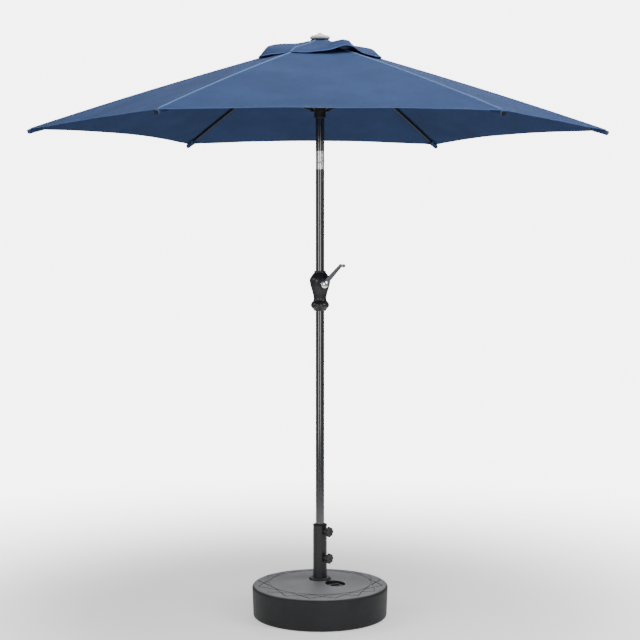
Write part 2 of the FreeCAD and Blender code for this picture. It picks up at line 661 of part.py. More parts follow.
def tilt_joint():
    """Fork below, barrel and tongue above, on a cross pin, with the release button at +X."""
    radius, middle = cells.pole_radius - 0.5, cells.tilt_height
    tongue_half, ear_half = 9.7, 10.0
    ear_round = math.sqrt(radius ** 2 - ear_half ** 2)
    x_axis = Vector(1, 0, 0)
    column = Part.makeCylinder(radius, 400, Vector(0, 0, middle - 200))
    pin_hole = rod(4 + cells.running_gap, Vector(-60, 0, middle), Vector(12.5, 0, middle))
    cord_hole = rod(2.6, Vector(0, -9, middle - 90), Vector(0, -9, middle + 90))
    barrel_room = rod(radius + cells.loose_gap, Vector(-60, 0, middle), Vector(60, 0, middle))
    spigot_length = 24

    # fork
    low = cells.tilt_bottom
    stem = Part.makeCylinder(radius, middle - low, Vector(0, 0, low))
    between = block(Vector(-ear_half, -40, low), Vector(ear_half, 40, middle + 40))
    stem = stem.cut(between.common(barrel_room))
    stem = stem.cut(block(Vector(-ear_half, -40, middle - cells.tilt_slot_depth),
                          Vector(ear_half, 40, middle + 5)))
    ears = rod(ear_round, Vector(-60, 0, middle), Vector(60, 0, middle)).common(column).cut(between)
    spigot = Part.makeCylinder(cells.pole_bore - 0.1, spigot_length, Vector(0, 0, low - spigot_length))
    fork = stem.fuse([ears, spigot]).cut([pin_hole, cord_hole.common(Part.makeBox(
        60, 60, 200, Vector(-30, -30, middle - 190)))])
    fork = fork.cut(rod(5.8, Vector(12.5, 0, middle), Vector(60, 0, middle)))
    shaped("tilt_lower_fork", fork)

    # barrel and tongue
    high = cells.tilt_top
    tongue_box = block(Vector(-tongue_half, -40, middle - 40), Vector(tongue_half, 40, high))
    barrel = Part.makeCylinder(radius, 400, Vector(-200, 0, middle), x_axis)
    neck = block(Vector(-tongue_half, -40, middle), Vector(tongue_half, 40, high))
    tongue = barrel.fuse(neck).common(tongue_box).common(column)
    shoulder = Part.makeCylinder(radius, high - middle - ear_round - 0.4,
                                 Vector(0, 0, middle + ear_round + 0.4))
    top_spigot = Part.makeCylinder(cells.pole_bore - 0.1, spigot_length, Vector(0, 0, high))
    cord_way = rod(3.4, Vector(0, -8.2, middle - 30), Vector(0, -8.2, middle + 90))
    upper = tongue.fuse([shoulder, top_spigot]).cut([pin_hole, cord_way])
    shaped("tilt_upper_barrel", upper)

    pin = rod(4, Vector(-radius + 0.6, 0, middle), Vector(12.4, 0, middle))
    shaped("tilt_pin", pin)
    proud = radius + 0.4
    button = rod(5.5, Vector(proud - 2.4, 0, middle), Vector(proud, 0, middle))
    rim = [edge for edge in button.Edges if abs(edge.BoundBox.XMin - proud) < 0.01]
    shaped("tilt_button", button.makeFillet(0.4, rim))
    spring = rod(5, Vector(12.6, 0, middle), Vector(proud - 2.5, 0, middle)).cut(
        rod(3.6, Vector(0, 0, middle), Vector(40, 0, middle)))
    shaped("tilt_spring", spring)


# ---------------------------------------------------------------- hub, runner and pulley


def hinge_ring(pivot_height):
    """Slots and pin holes of the six hinges round a hub or runner, as one cutting shape."""
    ring, half = cells.hinge_radius, cells.tongue_width / 2 + cells.loose_gap
    slot = block(Vector(ring - 6.6, -half, pivot_height - 40),
                 Vector(2 * ring, half, pivot_height + 40))
    hole = rod(cells.pin_diameter / 2 + 0.02, Vector(ring, -8.2, pivot_height),
               Vector(ring, 8.2, pivot_height))
    tools = []
    for at in range(int(cells.rib_count)):
        for shape in (slot, hole):
            copy = shape.copy()
            copy.rotate(Vector(0, 0, 0), Vector(0, 0, 1), 360 / cells.rib_count * at)
            tools.append(copy)
    return tools


def hinge_pins(pivot_height):
    """The six hinge pins of a hub or runner."""
    ring, pins = cells.hinge_radius, []
    for at in range(int(cells.rib_count)):
        pin = rod(cells.pin_diameter / 2, Vector(ring, -8, pivot_height),
                  Vector(ring, 8, pivot_height))
        pin.rotate(Vector(0, 0, 0), Vector(0, 0, 1), 360 / cells.rib_count * at)
        pins.append(pin)
    return pins


def upper_pole_and_hub():
    """Upper pole, top hub with its hinge slots, the cord pulley and the pins."""
    pulley_radius = cells.hinge_radius * cells.pulley_share
    centre = polar(pulley_radius, cells.cord_angle, cells.hub_height - 5)
    across = polar(1, cells.cord_angle + 90)
    axle_reach = cells.hinge_radius - 9.8
    slot = block(Vector(-3, -3, centre.z - 18), Vector(29, 3, cells.pole_top + 0.1))
    slot.Placement = spin(cells.cord_angle)
    axle_hole = rod(2.04, centre - across * 30, centre + across * 30)

    pole = turned("upper_pole_turned", [
        ("pole_bore", "tilt_top"), ("pole_radius", "tilt_top"),
        ("pole_radius", "pole_top"), ("pole_bore", "pole_top"),
    ])
    window = doc.addObject("Part::Feature", "upper_pole_window")
    window.Shape = slot.fuse(axle_hole)
    piece(cut("upper_pole_cut", pole, [window]), "upper_pole")

    hub = turned("top_hub_turned", [
        ("pole_radius + 0.1", "hub_height - 26"), ("pole_radius + 4", "hub_height - 26"),
        ("pole_radius + 4", "hub_height - 8"), ("hinge_radius + 6", "hub_height - 8"),
        ("hinge_radius + 6", "hub_height + 5"), ("hinge_radius + 2", "hub_height + 8"),
        ("12", "hub_top"), ("10.2", "hub_top"), ("10.2", "pole_top"),
        ("pole_radius + 0.1", "pole_top"),
    ])
    hub_slots = doc.addObject("Part::Feature", "top_hub_slots")
    hub_slots.Shape = Part.makeCompound(hinge_ring(cells.hub_height))
    hub_window = doc.addObject("Part::Feature", "top_hub_window")
    inside = Part.makeCylinder(axle_reach, 400, Vector(0, 0, cells.hub_height - 200))
    hub_window.Shape = slot.fuse(axle_hole.common(inside))
    piece(cut("top_hub_cut", hub, [hub_slots, hub_window]), "top_hub")

    half = math.sqrt(axle_reach ** 2 - (pulley_radius + 2) ** 2) - 0.2
    axle = rod(2, centre - across * half, centre + across * half)
    shaped("hub_pins", Part.makeCompound(hinge_pins(cells.hub_height) + [axle]))

    groove = pulley_radius - cells.cord_diameter / 2
    rim = pulley_radius + 0.8
    outline = [(2 + cells.running_gap, -2.5), (rim, -2.5), (rim, -2), (groove, -0.9), (groove, 0.9),
               (rim, 2), (rim, 2.5), (2 + cells.running_gap, 2.5)]
    face = Part.Face(Part.makePolygon([Vector(r, 0, z) for r, z in outline + outline[:1]]))
    wheel = face.revolve(Vector(0, 0, 0), Vector(0, 0, 1), 360)
    turn = facing(cells.cord_angle + 90, 0)
    shaped("cord_pulley", wheel, FreeCAD.Placement(centre, turn.Rotation))
    return centre, pulley_radius


def open_runner_height():
    """Height of the strut hinges on the runner while the canopy is open."""
    pivot = rib_point(cells.strut_length, -cells.strut_drop)
    return cells.hub_height - 2 * (cells.hub_height - pivot.z)


def runner_pieces():
    """The runner that slides on the pole, and its hinge pins."""
    pivot = open_runner_height()
    bore = cells.pole_radius + cells.runner_gap
    collar = cells.hinge_radius - 7
    outer = cells.hinge_radius + 6
    outline = [(bore, pivot - 33), (collar - 1.5, pivot - 33), (collar, pivot - 30),
               (collar, pivot - 10), (collar + 1, pivot - 8), (outer, pivot - 8), (outer, pivot + 5),
               (outer - 3, pivot + 8), (collar, pivot + 8), (collar, pivot + 14), (bore, pivot + 14)]
    face = Part.Face(Part.makePolygon([Vector(r, 0, z) for r, z in outline + outline[:1]]))
    body = face.revolve(Vector(0, 0, 0), Vector(0, 0, 1), 360)
    cord_radius = 2 * cells.hinge_radius * cells.pulley_share
    cord_hole = rod(cells.cord_diameter / 2 + cells.loose_gap,
                    polar(cord_radius, cells.cord_angle, pivot - 12),
                    polar(cord_radius, cells.cord_angle, pivot + 12))
    body = body.cut(hinge_ring(pivot) + [cord_hole])
    shaped("runner", body)
    shaped("runner_pins", Part.makeCompound(hinge_pins(pivot)))


def lift_cords(pulley_centre, pulley_radius):
    """The cord from the drum to the tilt joint, and from there over the pulley to the runner."""
    thin = cells.cord_diameter / 2
    wound = cells.drum_radius + thin
    level = Vector(0, 0, 1).cross(polar(1, cells.crank_angle))
    start = level * wound + Vector(0, 0, cells.crank_height)
    joint = Vector(0, -9, cells.tilt_height - cells.pole_radius - 2)
    coil = Part.makeCylinder(wound + thin, 12.4, Vector(0, 0, -6.2)).cut(
        Part.makeCylinder(cells.drum_radius + 0.1, 20, Vector(0, 0, -10)))
    coil.Placement = facing(cells.crank_angle, cells.crank_height)
    shaped("lift_cord_lower", coil.fuse(rod(thin, start, joint)))

    inner_top = Vector(0, 0, pulley_centre.z)
    outer_top = polar(2 * pulley_radius, cells.cord_angle, pulley_centre.z)
    over = Vector(pulley_centre.x, pulley_centre.y, pulley_centre.z + pulley_radius)
    above_joint = Vector(0, -9, cells.tilt_height - cells.pole_radius + 3)
    knot_height = open_runner_height() - 10.9
    path = Part.Wire([Part.makeLine(above_joint, Vector(0, 0, pulley_centre.z - 60)),
                      Part.makeLine(Vector(0, 0, pulley_centre.z - 60), inner_top),
                      Part.Arc(inner_top, over, outer_top).toShape(),
                      Part.makeLine(outer_top, Vector(outer_top.x, outer_top.y, knot_height))])
    section = Part.Wire(Part.makeCircle(thin, above_joint, Vector(0, 9, pulley_centre.z - above_joint.z)))
    cord = path.makePipeShell([section], True, True, 2)
    knot = Part.makeSphere(2.6, Vector(outer_top.x, outer_top.y, knot_height))
    shaped("lift_cord_upper", cord.fuse(knot))


# ---------------------------------------------------------------- ribs and struts


def bow_radius():
    """Radius of the gentle downward bow of a rib."""
    return cells.rib_length / math.radians(cells.rib_end_slope - cells.rib_start_slope)


def rib_frame(along):
    """Point, direction and upward normal of the rib's middle line at a distance from its hinge."""
    first, radius = math.radians(cells.rib_start_slope), bow_radius()
    now = first + along / radius
    point = Vector(cells.hinge_radius + radius * (math.sin(now) - math.sin(first)), 0,
                   cells.hub_height - radius * (math.cos(first) - math.cos(now)))
    return point, Vector(math.cos(now), 0, -math.sin(now)), Vector(math.sin(now), 0, math.cos(now))


def rib_point(along, lift=0.0):
    """A point above or below the rib's middle line."""
    point, _, normal = rib_frame(along)
    return point + normal * lift


def turned_tube(width, depth, round_outside, start, end):
    """The bowed tube of a rib between two distances, solid, with round corners."""
    point, direction, _ = rib_frame(start)
    face = Part.Face(rounded_rectangle(width, depth, round_outside))
    slope = math.degrees(math.atan2(-direction.z, direction.x))
    face.Placement = FreeCAD.Placement(point, Rotation(Vector(0, 1, 0), slope))
    first = math.radians(cells.rib_start_slope)
    centre = Vector(cells.hinge_radius - bow_radius() * math.sin(first), 0,
                    cells.hub_height - bow_radius() * math.cos(first))
    sweep = math.degrees((end - start) / bow_radius())
    return face.revolve(centre, Vector(0, 1, 0), sweep)


def tongue(length, depth, hole):
    """A flattened end: an eye at the origin and a flat running along +X."""
    half = cells.tongue_width / 2
    eye = rod(depth / 2, Vector(0, -half, 0), Vector(0, half, 0))
    flat = block(Vector(0, -half, -depth / 2), Vector(length, half, depth / 2))
    return eye.fuse(flat).cut(rod(hole, Vector(0, -20, 0), Vector(0, 20, 0)))


def ribs():
    """One rib, its fittings and its strut, repeated round the pole."""
    wall, eye_hole = cells.frame_wall, cells.pin_diameter / 2 + cells.running_gap
    tube_start = 14
    tube = turned_tube(cells.rib_width, cells.rib_depth, 2, tube_start, cells.rib_length)
    room = turned_tube(cells.rib_width - 2 * wall, cells.rib_depth - 2 * wall, 1,
                       tube_start + 18, cells.rib_length + 5)
    root = tongue(tube_start + 8, cells.rib_depth - 1, eye_hole)
    root.Placement = FreeCAD.Placement(rib_point(0), Rotation(Vector(0, 1, 0), cells.rib_start_slope))
    rib = tube.cut(room).fuse(root)

    tip = turned_tube(cells.rib_width + 3, cells.rib_depth + 3, 3,
                      cells.rib_length, cells.rib_length + 14)
    plug = turned_tube(cells.rib_width - 2 * wall - 0.2, cells.rib_depth - 2 * wall - 0.2, 0.8,
                       cells.rib_length - 16, cells.rib_length + 2)
    fittings = Part.makeCompound([tip.fuse(plug)] + strut_clip())

    pivot = rib_point(cells.strut_length, -cells.strut_drop)
    lower = Vector(cells.hinge_radius, 0, open_runner_height())
    strut = strut_solid(lower, pivot, eye_hole)
    for at in range(int(cells.rib_count)):
        place = spin(360 / cells.rib_count * at)
        shaped(f"rib_{at + 1}", rib, place)
        shaped(f"rib_fittings_{at + 1}", fittings, place)
        shaped(f"strut_{at + 1}", strut, place)


def strut_clip():
    """The riveted clip under the rib that carries the strut, and its pin."""
    half_in = cells.tongue_width / 2 + cells.loose_gap
    half_out = half_in + 1.5
    under = -cells.rib_depth / 2 - 0.06
    deep = -cells.strut_drop - 5
    web = block(Vector(-9, -half_out, under - 1.3), Vector(9, half_out, under))
    ears = [block(Vector(-6, side * (half_in + 0.75) - 0.75, deep),
                  Vector(6, side * (half_in + 0.75) + 0.75, under - 1)) for side in (-1, 1)]
    hole = rod(cells.pin_diameter / 2 + 0.02, Vector(0, -9, -cells.strut_drop),
               Vector(0, 9, -cells.strut_drop))
    clip = web.fuse(ears).cut(hole)
    pin = rod(cells.pin_diameter / 2, Vector(0, -half_out, -cells.strut_drop),
              Vector(0, half_out, -cells.strut_drop))
    heads = [rod(3, Vector(0, side * half_out, -cells.strut_drop),
                 Vector(0, side * (half_out + 1), -cells.strut_drop)) for side in (-1, 1)]
    point, direction, _ = rib_frame(cells.strut_length)
    slope = math.degrees(math.atan2(-direction.z, direction.x))
    place = FreeCAD.Placement(point, Rotation(Vector(0, 1, 0), slope))
    solids = []
    for shape in (clip, pin.fuse(heads)):
        shape.Placement = place
        solids.append(shape)
    return solids


def strut_solid(lower, upper, eye_hole):
    """A straight tube with flattened ends between the runner hinge and the rib clip."""
    length, wall, clear = (upper - lower).Length, cells.frame_wall, 14
    outer = Part.Face(rounded_rectangle(cells.strut_width, cells.strut_depth, 1.5))
    inner = Part.Face(rounded_rectangle(cells.strut_width - 2 * wall, cells.strut_depth - 2 * wall, 0.8))
    for face in (outer, inner):
        face.translate(Vector(clear, 0, 0))
    inner.translate(Vector(10, 0, 0))
    tube = outer.extrude(Vector(length - 2 * clear, 0, 0)).cut(
        inner.extrude(Vector(length - 2 * clear - 20, 0, 0)))
    near = tongue(clear + 6, cells.strut_depth - 0.8, eye_hole)
    far = near.copy()
    far.rotate(Vector(0, 0, 0), Vector(0, 0, 1), 180)
    far.translate(Vector(length, 0, 0))
    strut = tube.fuse([near, far])
    rise = math.degrees(math.asin((upper.z - lower.z) / length))
    strut.Placement = FreeCAD.Placement(lower, Rotation(Vector(0, 1, 0), -rise))
    return strut


# ---------------------------------------------------------------- canopy and finial


def canopy_panels():
    """Six cloth panels. Each lies on straight lines from rib to rib, just above the rib tubes."""
    half_angle = 180 / cells.rib_count
    share = math.cos(math.radians(half_angle))
    lift = cells.rib_depth / 2 + cells.cloth_lift
    stations = (60, cells.rib_length / 2, cells.rib_length + 30)
    low = [rib_point(along, lift) for along in stations]
    low = [Vector(point.x * share, 0, point.z) for point in low]
    high = [point + Vector(0, 0, cells.cloth_thickness) for point in low]
    edges = [Part.Arc(*low).toShape(), Part.makeLine(low[2], high[2]),
             Part.Arc(*high[::-1]).toShape(), Part.makeLine(high[0], low[0])]
    sheet = Part.Face(Part.Wire(edges)).extrude(Vector(0, 2000, 0))
    sheet.translate(Vector(0, -1000, 0))

    reach, seam = cells.cloth_reach, cells.loose_gap
    side = Vector(0, seam, 0)
    corner = polar(reach, -half_angle) + side
    other = Vector(corner.x, -corner.y, 0)
    near = polar(cells.vent_hole_radius, -half_angle) + side
    far = Vector(near.x, -near.y, 0)
    hem = Part.Arc(corner, Vector(corner.x - cells.hem_hollow, 0, 0), other).toShape()
    outline = Part.Wire([Part.makeLine(near, corner), hem, Part.makeLine(other, far),
                         Part.makeLine(far, near)])
    cutter = Part.Face(outline).extrude(Vector(0, 0, 3000))
    panel = sheet.common(cutter)
    for at in range(int(cells.rib_count)):
        shaped(f"canopy_panel_{at + 1}", panel, spin(half_angle * (2 * at + 1)))


def vent_canopy():
    """The six-sided vent cap, clamped under the finial: nearly flat, then turned down at a crease."""
    top = cells.hub_top + 2.3
    inner, near, over = 12, 2, 40
    gentle = math.tan(math.radians(cells.vent_slope))
    steep = math.tan(math.radians(cells.vent_turn_down))
    crease, reach = cells.vent_crease, cells.vent_reach
    crease_height = top - (crease - inner) * gentle
    edge_height = crease_height - (reach + over - crease) * steep

    def solid(lift):
        """Everything below the cap's surface at a lift, down to one flat level."""
        rings = [hexagon(near, top + (inner - near) * gentle + lift), hexagon(crease, crease_height + lift),
                 hexagon(reach + over, edge_height + lift)]
        return Part.makeLoft(rings[:2], True, True).fuse(Part.makeLoft(rings[1:], True, True))

    shell = solid(0).cut(solid(-cells.cloth_thickness))
    outside = Part.Face(hexagon(reach, edge_height - 100)).extrude(Vector(0, 0, 1000))
    hole = Part.makeCylinder(inner, 400, Vector(0, 0, top - 200))
    floor = Part.makeBox(1200, 1200, 200, Vector(-600, -600, edge_height + 5 - 200))
    shaped("vent_canopy", shell.common(outside).cut([hole, floor]).removeSplitter())


def finial():
    """The stepped finial whose stem closes the top of the hub."""
    piece(turned("finial_turned", [
        ("0", "pole_top + 0.5"), ("10", "pole_top + 0.5"), ("10", "hub_top + 2.7"),
        ("16", "hub_top + 2.7"), ("22", "finial_top - 24"),
        ("finial_diameter / 2 - 2", "finial_top - 24"), ("finial_diameter / 2", "finial_top - 21"),
        ("finial_diameter / 2", "finial_top - 16"), ("finial_diameter / 2 - 5", "finial_top - 12"),
        ("finial_diameter / 2 - 12", "finial_top - 14"), ("finial_diameter / 2 - 15", "finial_top - 14"),
        ("22", "finial_top - 9"), ("15", "finial_top - 5.5"), ("8.5", "finial_top - 4"),
        ("8", "finial_top - 1"), ("6", "finial_top"), ("0", "finial_top"),
    ]), "finial")


def main():
    """Builds every sub-part, checks the document and writes the files."""
    base_shell()
    base_tube()
    base_small_pieces()
    clamp_knobs()
    fill_cap()
    pole_pieces()
    crank_housing()
    crank_pieces()
    tilt_joint()
    pulley = upper_pole_and_hub()
    runner_pieces()
    lift_cords(*pulley)
    ribs()
    canopy_panels()
    vent_canopy()
    finial()
    doc.recompute()
    write_pieces()


def write_pieces():
    """Refuses a failed feature or a bad shape, then writes one STEP file for each sub-part."""
    for feature in doc.Objects:
        if {"Invalid", "Error"} & set(feature.State):
            raise RuntimeError(f"{feature.Name} failed: {feature.State}")
    for node in NODES:
        if node.Shape.isNull() or not node.Shape.isValid() or not node.Shape.Solids:
            raise RuntimeError(f"{node.Label} has no valid solid")
    os.makedirs("parts", exist_ok=True)
    for node in NODES:
        node.Shape.exportStep(f"parts/{node.Label}.step")
        print(f"{node.Label:22} {len(node.Shape.Solids)} solid(s) {node.Shape.Volume / 1000:10.2f} cm3")
    print(len(NODES), "files")


doc = FreeCAD.newDocument("PatioUmbrella")
gauge = doc.addObject("Part::Box", "Gauge")
cells = fill_sheets(doc)
main()
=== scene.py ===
"""Looks of a crank patio umbrella in a weighted base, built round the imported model.

Metres, +Z up, origin on the ground under the pole, -Y towards the user's side. The hard parts keep
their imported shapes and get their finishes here. The cloth, its seams and the button's spring are new
pieces: surfaces worked out on grids, and profiles carried along lines.
"""

from __future__ import annotations

import json
import logging
import math
from dataclasses import dataclass, field
from enum import Enum

import bmesh
import bpy
import numpy as np
from mathutils import Matrix, Vector


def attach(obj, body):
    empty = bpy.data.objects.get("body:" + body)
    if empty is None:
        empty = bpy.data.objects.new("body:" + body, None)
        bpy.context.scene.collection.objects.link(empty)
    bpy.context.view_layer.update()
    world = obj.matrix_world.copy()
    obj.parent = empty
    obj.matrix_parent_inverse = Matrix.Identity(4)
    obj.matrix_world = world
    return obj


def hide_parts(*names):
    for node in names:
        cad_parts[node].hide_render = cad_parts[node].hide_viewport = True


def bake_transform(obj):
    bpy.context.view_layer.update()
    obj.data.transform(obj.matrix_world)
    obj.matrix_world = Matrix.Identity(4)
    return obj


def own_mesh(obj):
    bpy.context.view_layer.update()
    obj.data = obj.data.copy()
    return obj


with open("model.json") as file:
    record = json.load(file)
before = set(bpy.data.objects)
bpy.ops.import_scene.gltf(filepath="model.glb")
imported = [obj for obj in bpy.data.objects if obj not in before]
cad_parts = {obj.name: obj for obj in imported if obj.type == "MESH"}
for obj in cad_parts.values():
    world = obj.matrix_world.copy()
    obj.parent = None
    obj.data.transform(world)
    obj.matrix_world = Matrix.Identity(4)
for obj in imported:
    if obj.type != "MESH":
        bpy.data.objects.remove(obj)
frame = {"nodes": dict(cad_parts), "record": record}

RIBS = 6
GORE = math.radians(360 / RIBS)
CLOTH = 0.0016  # doubled cloth, in metres
SINGLE = 0.5  # thickness of single cloth as a share of that
Colour = tuple[float, float, float]
log = logging.getLogger("umbrella")


# ---------------------------------------------------------------- shader maths


class Signal:
    """A value inside a material. An operator on it adds the Math node that works it out."""

    def __init__(self, paint: Paint, socket: bpy.types.NodeSocket) -> None:
        """Keeps the material and the socket that the value comes from."""
        self.paint, self.socket = paint, socket

    def maths(self, operation: str, *values: Signal | float) -> Signal:
        """Adds one Math node.

        Args:
            operation: Name of the node's operation.
            values: What goes into its sockets, in order.

        Returns:
            The node's value.
        """
        return self.paint.node("ShaderNodeMath", {"operation": operation}, dict(enumerate(values)))

    def __add__(self, other: Signal | float) -> Signal:
        """This value plus another."""
        return self.maths("ADD", self, other)

    def __sub__(self, other: Signal | float) -> Signal:
        """This value less another."""
        return self.maths("SUBTRACT", self, other)

    def __rsub__(self, other: float) -> Signal:
        """A number less this value."""
        return self.maths("SUBTRACT", other, self)

    def __mul__(self, other: Signal | float) -> Signal:
        """This value times another."""
        return self.maths("MULTIPLY", self, other)

    __radd__ = __add__
    __rmul__ = __mul__

    def wave(self, pitch: float) -> Signal:
        """A sine along this distance.

        Args:
            pitch: Metres after which it repeats.

        Returns:
            The sine, from -1 to 1.
        """
        return self.maths("SINE", self * (math.tau / pitch))

    def away(self) -> Signal:
        """The size of this value, without its sign."""
        return self.maths("ABSOLUTE", self)

    def between(self, low: float, high: float) -> Signal:
        """A smooth step.

        Args:
            low: Value at which the step starts from 0.
            high: Value at which it reaches 1.

        Returns:
            The step, from 0 to 1.
        """
        return self.paint.node("ShaderNodeMapRange", {"interpolation_type": "SMOOTHSTEP"},
                               {"Value": self, "From Min": low, "From Max": high})


class Paint:
    """One material under construction."""

    def __init__(self, name: str) -> None:
        """Starts a material with one Principled shader."""
        self.material = bpy.data.materials.new(name)
        self.material.use_nodes = True
        self.tree = self.material.node_tree
        self.shader = self.tree.nodes["Principled BSDF"]

    def node(self, kind: str, settings: dict[str, object] | None = None,
             inputs: dict[str | int, object] | None = None, out: str | int = 0) -> Signal:
        """Adds a node of any kind.

        Args:
            kind: The node's type.
            settings: Its properties, set first.
            inputs: Values or links of its sockets, by name or number.
            out: The output to use.

        Returns:
            The chosen output.
        """
        made = self.tree.nodes.new(kind)
        for name, value in (settings or {}).items():
            setattr(made, name, value)
        for name, value in (inputs or {}).items():
            self.feed(made.inputs[name], value)
        return Signal(self, made.outputs[out])

    def feed(self, socket: bpy.types.NodeSocket, value: object) -> None:
        """Links a signal to a socket, or sets the socket to a value.

        Args:
            socket: The socket.
            value: A signal, a number, a vector, or a colour of three parts.
        """
        if isinstance(value, Signal):
            self.tree.links.new(value.socket, socket)
        elif isinstance(value, tuple) and socket.type == "RGBA":
            socket.default_value = (*value, 1.0)
        else:
            socket.default_value = value

    def coat(self, **sockets: object) -> None:
        """Sets sockets of the shader.

        Args:
            sockets: A value or signal for each name, with underscores for the name's spaces.
        """
        for name, value in sockets.items():
            self.feed(self.shader.inputs[name.replace("_", " ")], value)

    def place(self) -> Signal:
        """Object coordinates, which are the frame's own on every piece."""
        return self.node("ShaderNodeTexCoord", out="Object")

    def noise(self, scale: float, detail: float = 3.0, rough: float = 0.5,
              at: Signal | None = None) -> Signal:
        """Noise from 0 to 1.

        Args:
            scale: Lumps per metre.
            detail: Octaves.
            rough: Share of the fine octaves.
            at: Coordinates, or the object's own.

        Returns:
            The noise value.
        """
        return self.node("ShaderNodeTexNoise", {"normalize": True},
                         {"Vector": at or self.place(), "Scale": scale, "Detail": detail,
                          "Roughness": rough})

    def stretched(self, along: tuple[float, float, float], at: Signal | None = None) -> Signal:
        """Coordinates scaled per axis.

        Args:
            along: Scale along each axis.
            at: Coordinates, or the object's own.

        Returns:
            The scaled coordinates.
        """
        return self.node("ShaderNodeMapping", {}, {"Vector": at or self.place(), "Scale": along})

    def blend(self, share: Signal | float, first: object, second: object) -> Signal:
        """A colour between two.

        Args:
            share: 0 for the first, 1 for the second.
            first: A colour or a signal.
            second: A colour or a signal.

        Returns:
            The mixed colour.
        """
        return self.node("ShaderNodeMix", {"data_type": "RGBA"}, {0: share, 6: first, 7: second}, 2)

    def relief(self, height: Signal, depth: float) -> Signal:
        """A bump.

        Args:
            height: Height as a share of the depth.
            depth: Metres that it stands where height is 1.

        Returns:
            The bent normal.
        """
        return self.node("ShaderNodeBump", {}, {"Height": height, "Distance": depth, "Strength": 1.0})

    def measure(self, name: str) -> Signal:
        """A number that the mesh carries at its points.

        Args:
            name: Name of the mesh's attribute.

        Returns:
            The number.
        """
        return self.node("ShaderNodeAttribute", {"attribute_name": name}, out="Fac")

    def upward(self) -> Signal:
        """How far a face looks up, from -1 to 1."""
        normal = self.node("ShaderNodeNewGeometry", out="Normal")
        return self.node("ShaderNodeSeparateXYZ", {}, {0: normal}, 2)


def tint(colour: Colour, share: float) -> Colour:
    """A colour made lighter or darker.

    Args:
        colour: The colour.
        share: Above 1 for lighter, below 1 for darker.

    Returns:
        The changed colour, with no part above 1.
    """
    return tuple(min(1.0, part * share) for part in colour)


# ---------------------------------------------------------------- finishes


@dataclass(frozen=True)
class Moulding:
    """Moulded plastic: a fine eroded grain, a slow change of gloss, and dust with painted top light where
    it faces up.
    """

    colour: Colour
    roughness: float = 0.45
    grain: float = 0.0012
    depth: float = 0.00012
    # Share and colour that upward faces blend towards: partly dust, partly painted light from above.
    dust: float = 0.0
    dust_colour: Colour = (0.30, 0.30, 0.31)
    clear: float = 0.0
    shine: float = 0.3

    def dress(self, paint: Paint) -> None:
        """Paints the plastic on a material.

        Args:
            paint: The material.
        """
        fine = paint.noise(1 / self.grain, 2.0, 0.6)
        slow = paint.noise(9.0, 4.0)
        body = paint.blend(slow.between(0.3, 0.75), tint(self.colour, 0.82), tint(self.colour, 1.2))
        # Upward faces blend towards a pale grey: partly dust, partly painted top light.
        if self.dust:
            settled_dust_and_top_light = paint.upward().between(0.55, 0.98) * (0.55 + 0.6 * slow) * self.dust
            body = paint.blend(settled_dust_and_top_light, body, self.dust_colour)
        paint.coat(Base_Color=body, Coat_Weight=self.clear, Coat_Roughness=0.12,
                   Specular_IOR_Level=self.shine,
                   Roughness=self.roughness - 0.06 + 0.13 * slow + 0.05 * fine,
                   Normal=paint.relief(fine, self.depth))


@dataclass(frozen=True)
class PowderCoat:
    """Powder-coated steel: an orange-peel skin, rubbed lighter in patches."""

    colour: Colour
    roughness: float = 0.3
    peel: float = 0.0016
    depth: float = 0.000008
    clear: float = 0.4
    rubbed: Colour = (0.04, 0.041, 0.045)
    shine: float = 0.3

    def dress(self, paint: Paint) -> None:
        """Paints the coating on a material.

        Args:
            paint: The material.
        """
        peel = paint.noise(1 / self.peel, 1.5, 0.4)
        streaks = paint.noise(1.0, 4.0, 0.6, paint.stretched((160.0, 160.0, 7.0)))
        wear = streaks.between(0.60, 0.85) * 0.35
        paint.coat(Base_Color=paint.blend(wear, self.colour, self.rubbed), Coat_Weight=self.clear,
                   Coat_Roughness=0.08, Specular_IOR_Level=self.shine,
                   Roughness=self.roughness + 0.10 * streaks, Normal=paint.relief(peel, self.depth))


@dataclass(frozen=True)
class Plating:
    """Plated or bare metal: brushed round its axis, with faint tarnish."""

    colour: Colour
    roughness: float = 0.22
    brush: tuple[float, float, float] = (60.0, 60.0, 1800.0)
    depth: float = 0.0000025
    tarnish: Colour = (0.30, 0.29, 0.28)

    def dress(self, paint: Paint) -> None:
        """Paints the metal on a material.

        Args:
            paint: The material.
        """
        brushed = paint.noise(1.0, 3.0, 0.6, paint.stretched(self.brush))
        spots = paint.noise(140.0, 5.0, 0.62)
        dull = spots.between(0.58, 0.8) * 0.3
        paint.coat(Base_Color=paint.blend(dull, self.colour, self.tarnish), Metallic=1.0,
                   Roughness=self.roughness - 0.06 + 0.16 * brushed + 0.2 * dull,
                   Normal=paint.relief(brushed, self.depth))


